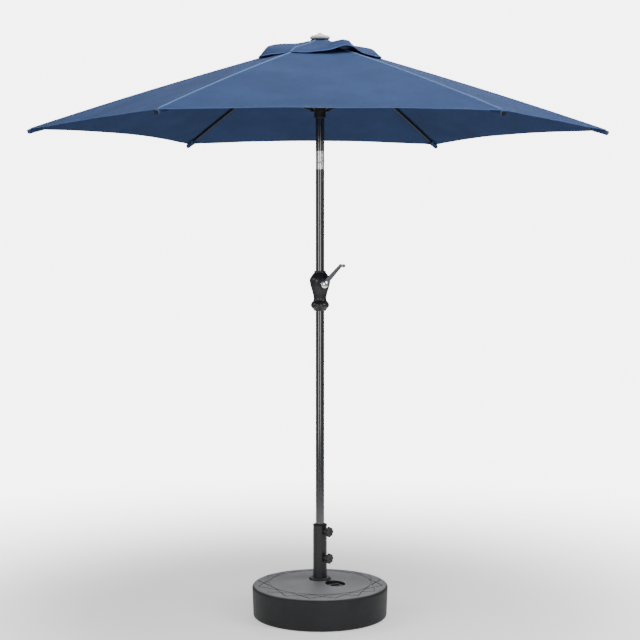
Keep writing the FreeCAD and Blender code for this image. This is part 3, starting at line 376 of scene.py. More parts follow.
@dataclass(frozen=True)
class Weave:
    """Woven polyester: warp and weft along the piece's own map, and a faintly uneven dye."""

    colour: Colour
    thread: float = 0.0011
    roughness: float = 0.86
    depth: float = 0.00022
    slubs: tuple[float, float, float] = (18.0, 420.0, 1.0)
    seam_rows: tuple[float, float] = (0.006, 0.011)
    hem_rows: tuple[float, float] = (0.004, 0.017)
    stitch: float = 0.007
    hem_fold: tuple[float, float] = (0.0185, 0.0200)
    # Distances from the hem over which its edge is painted lighter, as a painted highlight.
    hem_edge: tuple[float, float] = (0.0030, 0.0042)

    def row(self, distance: Signal, at: float) -> Signal:
        """A line of stitching, about a millimetre and a half wide.

        Args:
            distance: Distance from the seam or the hem.
            at: Distance at which the line runs.

        Returns:
            1 on the line and 0 away from it.
        """
        return 1 - (distance - at).away().between(0.0005, 0.0011)

    def dress(self, paint: Paint) -> None:
        """Paints the cloth on a material.

        The weave's height is |warp wave * weft wave|. The stitching is dashed lines at fixed
        distances from the seam and the hem, which the mesh carries at its points. The hem's fold
        shows a little darker, and its very edge lighter as a painted highlight.

        Args:
            paint: The material.
        """
        cloth = paint.node("ShaderNodeUVMap", {"uv_map": "cloth"})
        across = paint.node("ShaderNodeSeparateXYZ", {}, {0: cloth}, 0)
        along = paint.node("ShaderNodeSeparateXYZ", {}, {0: cloth}, 1)
        weave = (across.wave(self.thread) * along.wave(self.thread)).away()
        slub = paint.noise(1.0, 3.0, 0.6, paint.stretched(self.slubs, cloth))
        dye = paint.noise(5.0, 4.0, 0.55)
        seam, hem = paint.measure("to_seam"), paint.measure("to_hem")
        rows = [self.row(seam, at) for at in self.seam_rows] + [self.row(hem, at) for at in self.hem_rows]
        thread = sum(rows[1:], rows[0]) * (across + along).wave(self.stitch).between(-0.55, -0.25)
        fold, edge = 1 - hem.between(*self.hem_fold), 1 - hem.between(*self.hem_edge)
        body = paint.blend(dye.between(0.25, 0.8), tint(self.colour, 0.88), tint(self.colour, 1.12))
        body = paint.blend(slub.between(0.45, 0.9) * 0.18, body, tint(self.colour, 1.7))
        body = paint.blend(fold * 0.12, body, tint(self.colour, 0.6))
        # Painted highlight: the hem's outer edge, much lighter than the cloth.
        body = paint.blend(edge * 0.6, body, tint(self.colour, 2.6))
        body = paint.blend(thread * 0.6, body, tint(self.colour, 2.2))
        paint.coat(Base_Color=body, Specular_IOR_Level=0.07, Roughness=self.roughness + 0.12 * slub,
                   Normal=paint.relief(0.5 * weave + 0.35 * slub + 1.6 * thread, self.depth))


@dataclass(frozen=True)
class Braid:
    """Braided cord: strands that cross on a slant round the cord's own length."""

    colour: Colour
    strand: float = 0.0016
    slant: float = 0.8

    def dress(self, paint: Paint) -> None:
        """Paints the braid on a material: two slanting waves, the larger of which shows, with painted shade
        darkening the grooves between the strands.

        Args:
            paint: The material.
        """
        split = [paint.node("ShaderNodeSeparateXYZ", {}, {0: paint.place()}, n) for n in range(3)]
        turn = split[0] + split[1]
        left = (split[2] + turn * self.slant).wave(self.strand)
        right = (split[2] - turn * self.slant).wave(self.strand)
        strands = left.maths("MAXIMUM", left, right)
        # Painted shade: the grooves between the strands are darker.
        body = paint.blend(strands.between(-0.2, 1.0), tint(self.colour, 0.45), self.colour)
        paint.coat(Base_Color=body, Roughness=0.8, Sheen_Weight=0.3, Normal=paint.relief(strands, 0.00018))


@dataclass(frozen=True)
class Grit:
    """Loose packed sand: grains of mixed colour."""

    colour: Colour

    def dress(self, paint: Paint) -> None:
        """Paints the grains on a material: a cell pattern, mixed lighter and darker.

        Args:
            paint: The material.
        """
        grains = paint.node("ShaderNodeTexVoronoi", {}, {"Vector": paint.place(), "Scale": 900.0})
        patch = paint.noise(30.0, 4.0)
        body = paint.blend(patch + 0.3 * grains, tint(self.colour, 0.6), tint(self.colour, 1.3))
        paint.coat(Base_Color=body, Roughness=0.95, Normal=paint.relief(grains, 0.0006))


class Finish(Enum):
    """The finish behind each material slot of the record."""

    # The base's upward faces blend far towards pale grey: dust and painted top light.
    base_plastic = Moulding((0.013, 0.0132, 0.0145), roughness=0.50, grain=0.0016, depth=0.00022,
                            dust=0.72, dust_colour=(0.35, 0.352, 0.372), shine=0.2)
    sand = Grit((0.52, 0.42, 0.28))
    black_steel = PowderCoat((0.008, 0.008, 0.0085), roughness=0.36, clear=0.1, shine=0.35)
    # Upward faces blend towards grey: dust and painted top light.
    trim_plastic = Moulding((0.014, 0.014, 0.015), roughness=0.45, dust=0.35,
                            dust_colour=(0.14, 0.14, 0.15))
    reducer_plastic = Moulding((0.012, 0.012, 0.013), roughness=0.55, shine=0.15)
    zinc_steel = Plating((0.62, 0.63, 0.65), roughness=0.34)
    black_plastic = Moulding((0.014, 0.014, 0.015), roughness=0.36, clear=0.15)
    gloss_pole = PowderCoat((0.008, 0.009, 0.013), roughness=0.12, clear=1.0,
                            rubbed=(0.012, 0.014, 0.019), shine=0.8)
    housing_plastic = Moulding((0.016, 0.016, 0.018), roughness=0.34, clear=0.25)
    chrome = Plating((0.80, 0.81, 0.83), roughness=0.12)
    gunmetal = Plating((0.20, 0.205, 0.22), roughness=0.24)
    silver_metal = Plating((0.66, 0.67, 0.69), roughness=0.24)
    cord = Braid((0.50, 0.50, 0.48))
    hub_plastic = Moulding((0.010, 0.010, 0.011), roughness=0.42, shine=0.2)
    rib_steel = PowderCoat((0.010, 0.011, 0.013), roughness=0.34, clear=0.15)
    cloth = Weave((0.029, 0.050, 0.118))
    finial_plastic = Moulding((0.62, 0.62, 0.63), roughness=0.35, clear=0.4)
    # The welts are the gores' own cloth, painted lighter: a painted highlight along the seams.
    piping = Weave((0.046, 0.073, 0.148))
    # Near black, far darker than the cloth that the patch is made of: painted shade under the finial.
    patch = Weave((0.005, 0.007, 0.012))

    @property
    def material(self) -> bpy.types.Material:
        """This finish's material, made the first time that it's asked for."""
        name = f"{self.name}_finish"
        found = bpy.data.materials.get(name)
        if found is None:
            paint = Paint(name)
            self.value.dress(paint)
            found = paint.material
        return found


def dress(piece: bpy.types.Object, finish: Finish) -> None:
    """Gives a piece one finish all over.

    Args:
        piece: The piece.
        finish: The finish, whose material takes the place of the piece's own.
    """
    piece.data.materials.clear()
    piece.data.materials.append(finish.material)


# ---------------------------------------------------------------- surfaces


def surface(name: str, points: np.ndarray, uv: np.ndarray | None = None,
            wrap: bool = False, measures: dict[str, np.ndarray] | None = None) -> bpy.types.Object:
    """A smooth mesh through a grid of points.

    Args:
        name: Name of the piece.
        points: Grid of shape (rows, columns, 3).
        uv: Map of shape (rows, columns, 2) in metres of cloth.
        wrap: Joins the last column to the first.
        measures: Numbers of shape (rows, columns) that the points carry.

    Returns:
        The object, linked to the scene.
    """
    rows, columns = points.shape[:2]
    first, second = np.meshgrid(np.arange(rows - 1), np.arange(columns - (not wrap)), indexing="ij")
    third = (second + 1) % columns
    quads = np.stack([first * columns + second, first * columns + third,
                      (first + 1) * columns + third, (first + 1) * columns + second], axis=-1)
    quads = quads.reshape(-1, 4)
    mesh = bpy.data.meshes.new(name)
    mesh.vertices.add(rows * columns)
    mesh.vertices.foreach_set("co", points.astype(np.float32).ravel())
    mesh.loops.add(quads.size)
    mesh.loops.foreach_set("vertex_index", quads.astype(np.int32).ravel())
    mesh.polygons.add(len(quads))
    mesh.polygons.foreach_set("loop_start", np.arange(0, quads.size, 4, dtype=np.int32))
    if uv is not None:
        layer = mesh.uv_layers.new(name="cloth")
        layer.data.foreach_set("uv", uv.reshape(-1, 2)[quads.ravel()].astype(np.float32).ravel())
    for key, values in (measures or {}).items():
        layer = mesh.attributes.new(key, "FLOAT", "POINT")
        layer.data.foreach_set("value", values.astype(np.float32).ravel())
    mesh.update(calc_edges=True)
    mesh.validate()
    mesh.shade_smooth()
    made = bpy.data.objects.new(name, mesh)
    bpy.context.scene.collection.objects.link(made)
    return made


def sweep(name: str, line: np.ndarray, up: np.ndarray, profile: np.ndarray,
          measures: dict[str, np.ndarray] | None = None) -> bpy.types.Object:
    """A closed tube: a profile carried along a line, with flat ends.

    A point of the tube is line + side * profile_x + up * profile_y, where side is the line's
    direction crossed with up.

    Args:
        name: Name of the piece.
        line: Points of shape (n, 3).
        up: Directions of shape (n, 3), square to the line.
        profile: Outline of shape (n, m, 2) or (m, 2), counter-clockwise.
        measures: Numbers of shape (n, m) that the points carry.

    Returns:
        The object.
    """
    ahead = np.gradient(line, axis=0)
    side = np.cross(ahead / np.linalg.norm(ahead, axis=1, keepdims=True), up)
    outline = np.broadcast_to(profile, (len(line), *profile.shape[-2:]))
    points = (line[:, None] + side[:, None] * outline[..., :1] + up[:, None] * outline[..., 1:])
    run = np.concatenate([[0], np.cumsum(np.linalg.norm(np.diff(line, axis=0), axis=1))])
    turn = np.concatenate([[0], np.cumsum(np.linalg.norm(np.diff(outline[0], axis=0), axis=1))])
    uv = np.stack(np.broadcast_arrays(turn[None], run[:, None]), axis=-1)
    made = surface(name, points, uv, True, measures)
    return closed(made)


def closed(made: bpy.types.Object) -> bpy.types.Object:
    """Fills the open ends of a tube and turns its faces outwards.

    Args:
        made: The tube, whose mesh is changed.

    Returns:
        The same object.
    """
    work = bmesh.new()
    work.from_mesh(made.data)
    bmesh.ops.remove_doubles(work, verts=work.verts, dist=1e-6)
    bmesh.ops.holes_fill(work, edges=[e for e in work.edges if e.is_boundary], sides=0)
    bmesh.ops.recalc_face_normals(work, faces=work.faces)
    work.to_mesh(made.data)
    work.free()
    return made


def thicken(made: bpy.types.Object, thickness: float, thick: np.ndarray | None = None) -> None:
    """Gives a sheet its thickness about its middle.

    Args:
        made: The sheet.
        thickness: Thickness in metres where the cloth is doubled.
        thick: For each point, 1 where the cloth is doubled and 0 where it is single.
    """
    change = made.modifiers.new("cloth", "SOLIDIFY")
    change.thickness, change.offset, change.use_even_offset = thickness, 0.0, False
    if thick is not None:
        group = made.vertex_groups.new(name="doubled")
        for level in np.unique(np.round(thick.ravel(), 1)):
            members = np.flatnonzero(np.round(thick.ravel(), 1) == level)
            group.add(members.tolist(), float(level), "REPLACE")
        change.vertex_group, change.thickness_vertex_group = "doubled", SINGLE


def follow(made: bpy.types.Object, share: np.ndarray) -> None:
    """Bakes a sheet's placement into its mesh.

    Args:
        made: The sheet, which isn't parented.
        share: For each point, 0 at the first rib and 1 at the next. Not used.
    """
    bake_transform(made)


def beside(share: np.ndarray, margin: float, radius: np.ndarray) -> np.ndarray:
    """Shares that stay at 0 and 1 near the seams.

    Args:
        share: Even shares, from 0 at the first rib to 1 at the next.
        margin: Width of the still strip, in metres.
        radius: Distances from the pole.

    Returns:
        The changed shares.
    """
    edge = margin / (radius * GORE)
    return np.clip((share - edge) / (1 - 2 * edge), 0, 1)


def turned(points: np.ndarray, angle: float) -> np.ndarray:
    """Points turned round the pole.

    Args:
        points: Points of shape (..., 3).
        angle: Angle in radians.

    Returns:
        Points of the same shape.
    """
    c, s = math.cos(angle), math.sin(angle)
    return np.stack([points[..., 0] * c - points[..., 1] * s,
                     points[..., 0] * s + points[..., 1] * c, points[..., 2]], axis=-1)


def smooth(x: np.ndarray, low: float, high: float) -> np.ndarray:
    """A smooth step of an array.

    Args:
        x: Values.
        low: Value at which the step starts from 0.
        high: Value at which it reaches 1. It may be below low.

    Returns:
        Steps of the same shape, from 0 to 1.
    """
    t = np.clip((x - low) / (high - low), 0, 1)
    return t * t * (3 - 2 * t)


def uneven(x: np.ndarray, y: np.ndarray, seed: int) -> np.ndarray:
    """Soft unevenness, mostly from -1 to 1: eight crossing waves with seeded directions.

    Args:
        x: First coordinate, in wavelengths.
        y: Second coordinate, in wavelengths.
        seed: Which set of waves.

    Returns:
        Values of the same shape.
    """
    draw = np.random.default_rng(seed)
    total = np.zeros(np.broadcast(x, y).shape)
    for turn, phase, pitch in draw.uniform((0, 0, 0.6), (math.tau, math.tau, 1.7), (8, 3)):
        total = total + np.sin(math.tau * pitch * (x * math.cos(turn) + y * math.sin(turn)) + phase)
    return total / 4


# ---------------------------------------------------------------- canopy


@dataclass(frozen=True)
class RibLine:
    """The gentle arc that a rib's middle line follows from its hinge."""

    hinge_radius: float = 0.030
    hub_height: float = 2.288
    length: float = 1.165
    start_slope: float = math.radians(15.2)
    end_slope: float = math.radians(18.4)
    mean_slope: float = math.radians(16.8)

    @property
    def bow(self) -> float:
        """Radius of the arc."""
        return self.length / (self.end_slope - self.start_slope)

    def height(self, radius: np.ndarray, lift: float) -> np.ndarray:
        """Height of the arc, raised square to itself.

        The arc is a circle: z = centre_z + sqrt((bow + lift)^2 - (radius - centre_x)^2).

        Args:
            radius: Distances from the pole axis.
            lift: How far above the rib's middle line.

        Returns:
            Heights of the same shape.
        """
        centre_x = self.hinge_radius - self.bow * math.sin(self.start_slope)
        centre_z = self.hub_height - self.bow * math.cos(self.start_slope)
        return centre_z + np.sqrt((self.bow + lift) ** 2 - (radius - centre_x) ** 2)

    def along(self, distance: np.ndarray, lift: float = 0.0) -> tuple[np.ndarray, np.ndarray]:
        """Points along the rib at +X, and the upward normals there.

        Args:
            distance: Distances from the hinge.
            lift: How far above the middle line.

        Returns:
            Points and normals, both of shape (n, 3).
        """
        now = self.start_slope + distance / self.bow
        still = np.zeros_like(now)
        normal = np.stack([np.sin(now), still, np.cos(now)], axis=-1)
        out = self.hinge_radius + self.bow * (np.sin(now) - math.sin(self.start_slope))
        height = self.hub_height - self.bow * (math.cos(self.start_slope) - np.cos(now))
        return np.stack([out, still, height], axis=-1) + lift * normal, normal


@dataclass
class Canopy:
    """Six gores of cloth over the ribs, with their seams and rib-end pockets.

    A seam line and a pocket line are distances along the rib from its hinge.
    """

    rib: RibLine = field(default_factory=RibLine)
    lift: float = 0.0083
    hole: float = 0.130
    reach: float = 1.153
    hollow: float = 0.056
    sag: float = 0.010
    crease_height: float = 0.0007
    crease_count: float = 17
    crease_reach: float = 0.22
    unevenness: float = 0.0010
    hem_width: float = 0.0195
    still_strip: float = 0.0075
    seam_line: tuple[float, float] = (0.104, 1.163)
    seam_width: float = 0.0042
    seam_height: float = 0.0026
    pocket_line: tuple[float, float] = (1.108, 1.1745)
    pocket_wall: float = 0.0013
    slope_share: float = 0.957  # cosine of the rib's mean slope, for the flat area

    def gore_grid(self) -> tuple[np.ndarray, np.ndarray, np.ndarray, np.ndarray]:
        """Grid of one gore, centred on +X.

        Row s runs from the vent hole to the hem and column t from -1 at the first rib to 1 at the
        next. The radius along the ribs is R = hole + s (hem(t) - hole), where the hem curves in:
        hem(t) = reach - hollow (1 - t^2) / cos 30. The point is (R cos 30, R t sin 30, height(R)).
        Rows crowd where the hem is folded, and columns towards the seams.

        Returns:
            Rib radius R, t, distance to the hem, and distance to the nearest seam, all (rows, columns).
        """
        hem_rows = np.array([0, 0.002, 0.004, 0.0065, 0.009, 0.012, 0.015, 0.018, 0.0195, 0.0205, 0.024])
        far = 1 - (hem_rows / 0.95)[::-1]
        rows = np.concatenate([np.linspace(0, far[0], 66)[:-1], far])
        crowding = 0.86
        t = np.sin(np.linspace(-1, 1, 85) * math.pi / 2 * crowding) / math.sin(math.pi / 2 * crowding)
        s, t = np.meshgrid(rows, t, indexing="ij")
        hem = self.reach - self.hollow * (1 - t ** 2) / math.cos(GORE / 2)
        radius = self.hole + s * (hem - self.hole)
        to_hem = (hem - radius) * math.cos(GORE / 2) / math.cos(self.rib.mean_slope)
        to_seam = (1 - np.abs(t)) * radius * math.sin(GORE / 2)
        return radius, t, to_hem, to_seam

    def gore(self, number: int) -> bpy.types.Object:
        """One gore of cloth, stretched between two ribs.

        It hangs a little between the ribs: drop = sag (1 - t^2) (R / reach)^2. Pull from the rib
        ends leaves faint fans of creases, strongest at the hem corners.

        Args:
            number: Number of the gore, from 1.

        Returns:
            The piece.
        """
        radius, t, to_hem, to_seam = self.gore_grid()
        c, s = math.cos(GORE / 2), math.sin(GORE / 2)
        x, y = radius * c, radius * t * s
        ahead, aside = self.reach * c - x, self.reach * s - np.abs(y)
        fan = np.arctan2(aside, ahead + 0.02) * self.crease_count
        fade = np.exp(-np.hypot(aside, ahead) / self.crease_reach)
        free = 1 - t ** 2
        z = self.rib.height(radius, self.lift) - self.sag * free * (radius / self.reach) ** 2
        z = z + self.crease_height * np.sin(fan + number) * fade * smooth(to_seam, 0, 0.05)
        z = z + self.unevenness * uneven(x * 2.4, y * 2.4, number) * free
        points = turned(np.stack([x, y, z], axis=-1), GORE * (number - 0.5))
        run = (radius - self.hole) * c / math.cos(self.rib.mean_slope)
        made = surface(f"canopy_gore_{number}", points, np.stack([y, run], axis=-1), False,
                       {"to_hem": to_hem, "to_seam": to_seam})
        hemmed = 1 - smooth(to_hem, self.hem_width - 0.0005, self.hem_width + 0.001)
        thicken(made, CLOTH, np.maximum(hemmed, 1 - smooth(to_seam, 0.010, 0.014)))
        dress(made, Finish.cloth)
        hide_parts(f"canopy_panel_{number}")
        follow(made, beside(np.arctan2(y, x) / GORE + 0.5, self.still_strip, radius))
        return made

    def area(self) -> float:
        """Flat area of a gore: its trapezium less the curve cut from the hem.

        Returns:
            Square metres.
        """
        inner, outer = self.hole, self.reach
        return (inner + outer) / 2 * self.depth() - 2 / 3 * self.hollow / self.slope_share * outer

    def depth(self) -> float:
        """Length of a gore on its slope, from the hole to the line between its hem corners.

        Returns:
            Metres.
        """
        return (self.reach - self.hole) * math.cos(GORE / 2) / math.cos(self.rib.mean_slope)

    def seam(self, number: int) -> bpy.types.Object:
        """The welt over a rib: a low ridge, y = h (1 - (x / w)^2)^(3/4) over the cloth.

        Args:
            number: Number of the rib, from 1.

        Returns:
            The piece.
        """
        line, up = self.rib.along(np.linspace(*self.seam_line, 90), self.lift + 0.0004)
        arc = np.linspace(0, math.pi, 13)
        top = np.stack([self.seam_width * np.cos(arc), self.seam_height * np.sin(arc) ** 1.5], axis=-1)
        profile = np.concatenate([top, top[1:-1][::-1] * (1, 0) - (0, 0.0003)])
        made = sweep(f"seam_welt_{number}", line, up, profile)
        made.data.transform(turn_matrix(GORE * (number - 1)))
        # The lighter welt colour is a painted highlight.
        dress(made, Finish.piping)
        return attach(made, f"rib_{number}")

    def pocket(self, number: int) -> bpy.types.Object:
        """The sewn pocket that holds a rib end: a flattened sleeve, wider at the mouth.

        Its section is close to a superellipse |x/a|^2.8 + |y/b|^2.8 = 1, whose half width and
        height shrink towards the tip. The grid runs out along the outside and back along the inside.

        Args:
            number: Number of the rib, from 1.

        Returns:
            The piece.
        """
        mouth_end, tip_end = self.pocket_line
        steps, power = 24, 0.72
        out, back = np.linspace(mouth_end, tip_end, steps), np.linspace(tip_end, mouth_end, steps)
        distance = np.concatenate([out, back])
        inside = np.concatenate([np.zeros(steps), np.ones(steps)])[:, None]
        line, up = self.rib.along(distance)
        turn = np.linspace(0, math.tau, 37)[:-1]
        c, s = np.cos(turn), np.sin(turn)
        shape = np.stack([np.sign(c) * np.abs(c) ** power, np.sign(s) * np.abs(s) ** power], axis=-1)
        mouth = smooth(distance, 1.165, mouth_end)
        half = np.stack([0.0089 + 0.0040 * mouth, 0.0096 + 0.0011 * mouth], axis=-1)
        half = half - inside * self.pocket_wall
        line = line - (0.0012 + 0.0012 * mouth)[:, None] * up
        pleat = 1 + 0.03 * np.sin(turn * 5 + number)[None, :] * mouth[:, None]
        profile = shape[None] * half[:, None] * pleat[..., None]
        points = line[:, None] + np.array([0, -1.0, 0]) * profile[..., :1] + up[:, None] * profile[..., 1:]
        run = np.broadcast_to(distance[:, None], points.shape[:2])
        round_it = np.broadcast_to(turn[None] * 0.012, points.shape[:2])
        edge = np.minimum(run - mouth_end, tip_end - run)
        made = surface(f"rib_pocket_{number}", points, np.stack([round_it, run], axis=-1), True,
                       {"to_hem": edge, "to_seam": np.full(points.shape[:2], 0.05)})
        made = closed(made)
        made.data.transform(turn_matrix(GORE * (number - 1)))
        dress(made, Finish.cloth)
        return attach(made, f"rib_{number}")

    def build(self) -> int:
        """Makes all gores, seams and pockets.

        Returns:
            The number of pieces.
        """
        seams = [self.seam(n + 1) for n in range(RIBS)]
        pockets = [self.pocket(n + 1) for n in range(RIBS)]
        for n in range(RIBS):
            gore = self.gore(n + 1)
            self.depth()
            self.area()
        return 3 * RIBS


def turn_matrix(angle: float) -> Matrix:
    """A turn round the pole, for mesh data.

    Args:
        angle: Angle in radians.

    Returns:
        The turn.
    """
    return Matrix.Rotation(angle, 4, "Z")


@dataclass
class VentFlap:
    """The puffed cap of cloth over the vent hole, and the round patch that holds it at the top."""

    canopy: Canopy
    inner: float = 0.030
    reach: float = 0.246
    top: float = 2.3105
    roundness: float = 0.62
    half_arc: float = 0.52  # half a gore's angle in radians, and so half its width for a metre of radius
    still_strip: float = 0.004
    patch_hole: float = 0.0125
    patch_radius: float = 0.046
    patch_wall: float = 0.0014
    patch_hem: float = 0.004

    def bumps(self, azimuth: np.ndarray, base: float, *bumps: tuple[float, float, float]) -> np.ndarray:
        """A base height plus bumps round the pole, each h e^(-((azimuth - centre) / width)^2).

        Args:
            azimuth: Directions from +X, in radians.
            base: Height everywhere.
            bumps: Centre and width in degrees, and height in metres, of each bump.

        Returns:
            Heights in metres.
        """
        lift = np.full(azimuth.shape, base)
        for centre, width, height in bumps:
            away = (np.degrees(azimuth) - centre + 180) % 360 - 180
            lift = lift + height * np.exp(-(away / width) ** 2)
        return lift

    def lay(self, s: np.ndarray, turn: np.ndarray) -> tuple[np.ndarray, np.ndarray, np.ndarray]:
        """Where the flap lies.

        Along s the cloth leaves the patch, swells to its crease, and turns down to its hem:
        z = ground(r) + settle(r) + crease(azimuth) puff(r) + rim_lift(azimuth) share^4 + folds,
        and never lower than just above the canopy. The rim is partly a circle and partly the
        straight-sided outline that runs from rib to rib.

        Args:
            s: Shares of the way from the patch to the hem.
            turn: Directions from +X, in radians, of the same shape.

        Returns:
            Points of shape (..., 3), radii, and distances to the hem.
        """
        from_middle = np.cos(((turn / GORE) % 1 - 0.5) * GORE)
        straight = math.cos(GORE / 2) / from_middle
        rim = self.reach * (self.roundness + (1 - self.roundness) * straight)
        rim = rim * (1 + 0.006 * np.sin(turn * 9 + 0.6) + 0.004 * np.sin(turn * 14 + 2.0))
        r = self.inner + s * (rim - self.inner)
        share = (r - self.inner) / (self.reach - self.inner)
        x, y = r * np.cos(turn), r * np.sin(turn)
        along = r * from_middle / math.cos(GORE / 2)
        ground = self.canopy.rib.height(along, self.canopy.lift + 0.006)
        start = float(self.canopy.rib.height(np.array(self.inner), self.canopy.lift + 0.006))
        settle = (self.top - start) * np.exp(-((r - self.inner) / 0.055) ** 2)
        puff = smooth(share, 0.0, 0.80) * (1 - 0.94 * smooth(share, 0.80, 1.0))
        crease = self.bumps(turn, 0.006, (180, 34, 0.027), (0, 34, 0.015), (292, 17, 0.024),
                            (90, 40, 0.020), (130, 20, 0.008))
        rim_lift = self.bumps(turn, -0.0015, (291, 13, 0.027), (82, 16, 0.014))
        folds = 0.6 * np.sin(turn * 7 + 0.8) + 0.4 * np.sin(turn * 12 + 1.9)
        folds = folds + 0.6 * uneven(x * 6, y * 6, 40)
        z = (ground + settle + crease * puff + rim_lift * share ** 4
             + 0.0019 * folds * smooth(share, 0.2, 1.0) + 0.0007 * uneven(x * 16, y * 16, 41) * share)
        lowest = self.canopy.rib.height(along, self.canopy.lift + 0.0035)
        return np.stack([x, y, np.maximum(z, lowest)], axis=-1), r, rim - r

    def gore(self, number: int) -> bpy.types.Object:
        """One gore of the flap.

        Args:
            number: Number of the gore, from 1.

        Returns:
            The piece.
        """
        rows = np.concatenate([np.linspace(0, 0.78, 34)[:-1], np.linspace(0.78, 1.0, 26)])
        s, t = np.meshgrid(rows, np.linspace(-1, 1, 57), indexing="ij")
        points, r, to_hem = self.lay(s, GORE * (number - 0.5) + t * GORE / 2)
        uv = np.stack([r * t * self.half_arc, r], axis=-1)
        made = surface(f"vent_gore_{number}", points, uv, False,
                       {"to_hem": to_hem, "to_seam": (1 - np.abs(t)) * r * self.half_arc})
        hemmed = 1 - smooth(to_hem, 0.011, 0.013)
        thicken(made, CLOTH, np.maximum(hemmed, 1 - smooth((1 - np.abs(t)) * r, 0.008, 0.012)))
        dress(made, Finish.cloth)
        follow(made, beside((t + 1) / 2, self.still_strip, r))
        return made

    def welt(self, number: int) -> bpy.types.Object:
        """The welt where two gores of the flap join: a thin oval cord of cloth on the seam.

        Args:
            number: Number of the rib, from 1.

        Returns:
            The piece.
        """
        turn = GORE * (number - 1)
        s = np.linspace(0.06, 0.985, 60)
        line, _, _ = self.lay(s, np.full(s.shape, turn))
        ahead = np.gradient(line, axis=0)
        ahead = ahead / np.linalg.norm(ahead, axis=1, keepdims=True)
        up = np.cross([math.sin(turn), -math.cos(turn), 0.0], ahead)
        arc = np.linspace(0, math.tau, 11)[:-1]
        made = sweep(f"vent_welt_{number}", line, up,
                     np.stack([0.0030 * np.cos(arc), 0.0017 * np.sin(arc) + 0.0004], axis=-1))
        # The lighter welt colour is a painted highlight.
        dress(made, Finish.piping)
        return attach(made, f"rib_{number}")

    def patch(self) -> bpy.types.Object:
        """The round patch under the finial, a shallow cone that turns down at its rim, painted near black
        as painted shade under the finial.

        The grid runs out along the top and back along the underside.

        Returns:
            The piece.
        """
        turn = np.linspace(0, math.tau, 73)[:-1]
        out = np.linspace(self.patch_hole, self.patch_radius, 18)
        back = np.linspace(self.patch_radius, self.patch_hole, 18)
        r = np.concatenate([out, back])[:, None]
        under = np.concatenate([np.zeros(18), np.full(18, self.patch_wall)])[:, None]
        z = self.top + 0.0022 - 0.10 * (r - self.inner) - 0.008 * smooth(r, 0.036, self.patch_radius)
        z = z + 0.0006 * np.sin(turn * 12)[None] * smooth(r, 0.02, 0.046) - under
        points = np.stack(np.broadcast_arrays(r * np.cos(turn), r * np.sin(turn), z), axis=-1)
        grid = np.concatenate([points, points[:1]])
        to_hem = self.patch_radius - np.concatenate([r, r[:1]])
        made = surface("vent_patch", grid, grid[..., :2], True,
                       {"to_hem": np.broadcast_to(to_hem, grid.shape[:2]),
                        "to_seam": np.full(grid.shape[:2], 0.05)})
        made = closed(made)
        # The patch's near black colour is painted shade under the finial.
        dress(made, Finish.patch)
        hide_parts("vent_canopy")
        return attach(made, "upper")

    def build(self) -> int:
        """Makes the flap, its welts and its patch.

        Returns:
            The number of pieces.
        """
        welts = [self.welt(n + 1) for n in range(RIBS)]
        patch = self.patch()
        for n in range(RIBS):
            gore = self.gore(n + 1)
        return 2 * RIBS + 1


# ---------------------------------------------------------------- hard parts, light and camera


def dress_frame() -> int:
    """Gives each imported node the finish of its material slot.

    Returns:
        The number of nodes dressed.
    """
    count = 0
    for part in frame["record"]["subparts"]:
        piece = frame["nodes"].get(part["node"])
        if piece is not None:
            dress(piece, Finish[part["material_slot"]])
            count += 1
    return count


@dataclass(frozen=True)
class ButtonSpring:
    """The small coil spring behind the tilt button, wound along +X."""

    start: float = 0.0131
    length: float = 0.0018
    turns: float = 2.5
    radius: float = 0.0043
    wire: float = 0.00045
    height: float = 1.837

    def build(self) -> bpy.types.Object:
        """Makes the spring.

        A point of the wire's line at turn a is (start + length a / last, R cos a, height + R sin a).

        Returns:
            The piece.
        """
        turn = np.linspace(0, math.tau * self.turns, 101)
        line = np.stack([self.start + self.length * turn / turn[-1], self.radius * np.cos(turn),
                         self.height + self.radius * np.sin(turn)], axis=-1)
        arc = np.linspace(0, math.tau, 11)[:-1]
        made = sweep("button_spring", line, np.broadcast_to([1.0, 0.0, 0.0], line.shape),
                     self.wire * np.stack([np.cos(arc), np.sin(arc)], axis=-1))
        dress(made, Finish.zinc_steel)
        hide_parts("tilt_spring")
        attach(made, "pole")
        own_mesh(made)
        return made


@dataclass(frozen=True)
class Lamp:
    """One rectangular soft light that faces the umbrella. Sizes in metres, power in watts."""

    name: str
    place: tuple[float, float, float]
    size: tuple[float, float]
    power: float


LAMPS = (
    Lamp("key", (0.8, -1.0, 5.2), (3.0, 3.0), 270),
    Lamp("right", (4.0, -2.6, 3.4), (1.6, 2.6), 100),
    Lamp("left", (-4.4, -0.6, 3.7), (1.6, 2.6), 75),
    Lamp("left_panel", (-3.8, -4.8, 1.4), (2.0, 3.2), 95),
    Lamp("right_panel", (1.2, -6.9, 1.4), (2.6, 3.2), 110),
    Lamp("back", (0.5, 4.5, 4.2), (3.0, 2.0), 80),
)


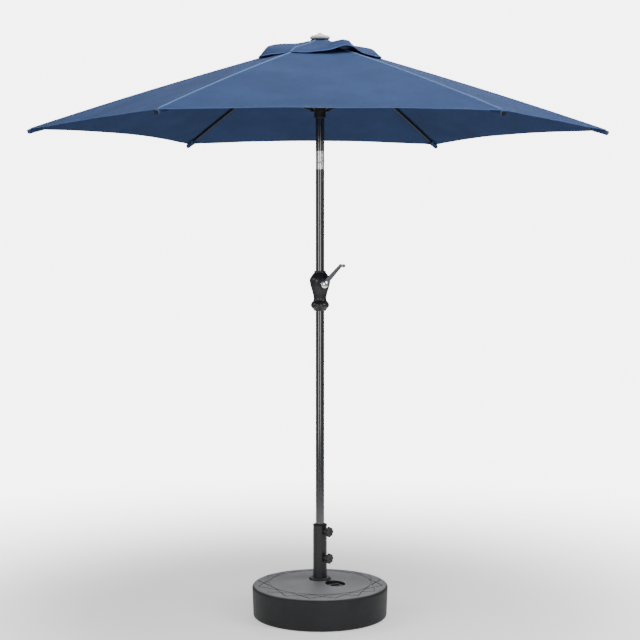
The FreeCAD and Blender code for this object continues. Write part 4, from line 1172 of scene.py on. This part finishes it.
@dataclass
class Studio:
    """The pale floor, the soft lights and the camera."""

    eye: Vector = field(default_factory=lambda: Vector((-0.213, -6.0, 1.557)))
    target: Vector = field(default_factory=lambda: Vector((0.0, 0.0, 1.199)))
    lit: Vector = field(default_factory=lambda: Vector((0, 0, 1.2)))
    lens: float = 84.3
    floor_half: float = 30
    floor_height: float = -0.0005
    sky_light: float = 0.26
    sky_seen: float = 6.0

    def aim(self, made: bpy.types.Object, target: Vector) -> None:
        """Turns a camera or light to look at a point.

        Args:
            made: The camera or light.
            target: The point.
        """
        made.rotation_euler = (target - made.location).to_track_quat("-Z", "Y").to_euler()

    def camera(self) -> None:
        """Makes the camera, at the object's usual catalogue angle."""
        made = bpy.data.objects.new("camera", bpy.data.cameras.new("camera"))
        made.data.lens, made.data.sensor_width = self.lens, 36.0
        made.location = self.eye
        bpy.context.scene.collection.objects.link(made)
        self.aim(made, self.target)
        bpy.context.scene.camera = made

    def light(self, lamp: Lamp) -> None:
        """Makes one light.

        Args:
            lamp: Which light.
        """
        data = bpy.data.lights.new(lamp.name, "AREA")
        data.shape, data.size, data.size_y, data.energy = "RECTANGLE", *lamp.size, lamp.power
        made = bpy.data.objects.new(lamp.name, data)
        made.location = lamp.place
        bpy.context.scene.collection.objects.link(made)
        self.aim(made, self.lit)

    def floor(self) -> None:
        """Makes the floor, which fades out a few metres away so that no edge shows."""
        span = np.linspace(-self.floor_half, self.floor_half, 3)
        x, y = np.meshgrid(span, span, indexing="ij")
        floor = surface("floor", np.stack([x, y, np.full(x.shape, self.floor_height)], axis=-1))
        paint = Paint("floor")
        away = paint.node("ShaderNodeVectorMath", {"operation": "LENGTH"}, {0: paint.place()}, 1)
        paint.coat(Base_Color=(0.92, 0.92, 0.92), Roughness=0.9, Specular_IOR_Level=0.05,
                   Emission_Color=(1.0, 1.0, 1.0), Emission_Strength=0.45, Alpha=1 - away.between(0.8, 3.6))
        floor.data.materials.append(paint.material)

    def sky(self) -> None:
        """Makes the world: bright where the camera sees it, and dim as a light on the object."""
        world = bpy.data.worlds.new("studio")
        world.use_nodes = True
        tree = world.node_tree
        sky = tree.nodes["Background"]
        sky.inputs["Color"].default_value = (1.0, 1.0, 1.0, 1.0)
        ray = tree.nodes.new("ShaderNodeLightPath")
        share = tree.nodes.new("ShaderNodeMapRange")
        share.inputs["To Min"].default_value = self.sky_light
        share.inputs["To Max"].default_value = self.sky_seen
        tree.links.new(ray.outputs["Is Camera Ray"], share.inputs["Value"])
        tree.links.new(share.outputs[0], sky.inputs["Strength"])
        bpy.context.scene.world = world

    def build(self) -> None:
        """Makes the camera, the floor, the sky and the lights."""
        self.camera()
        self.floor()
        self.sky()
        for lamp in LAMPS:
            self.light(lamp)


def main() -> None:
    """Builds everything in order."""
    logging.basicConfig(level=logging.INFO, format="%(name)s: %(message)s")
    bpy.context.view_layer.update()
    log.info("%d nodes dressed", dress_frame())
    canopy = Canopy()
    log.info("canopy: %d pieces", canopy.build())
    log.info("vent flap: %d pieces", VentFlap(canopy).build())
    ButtonSpring().build()
    Studio().build()


if __name__ == "__main__":
    main()
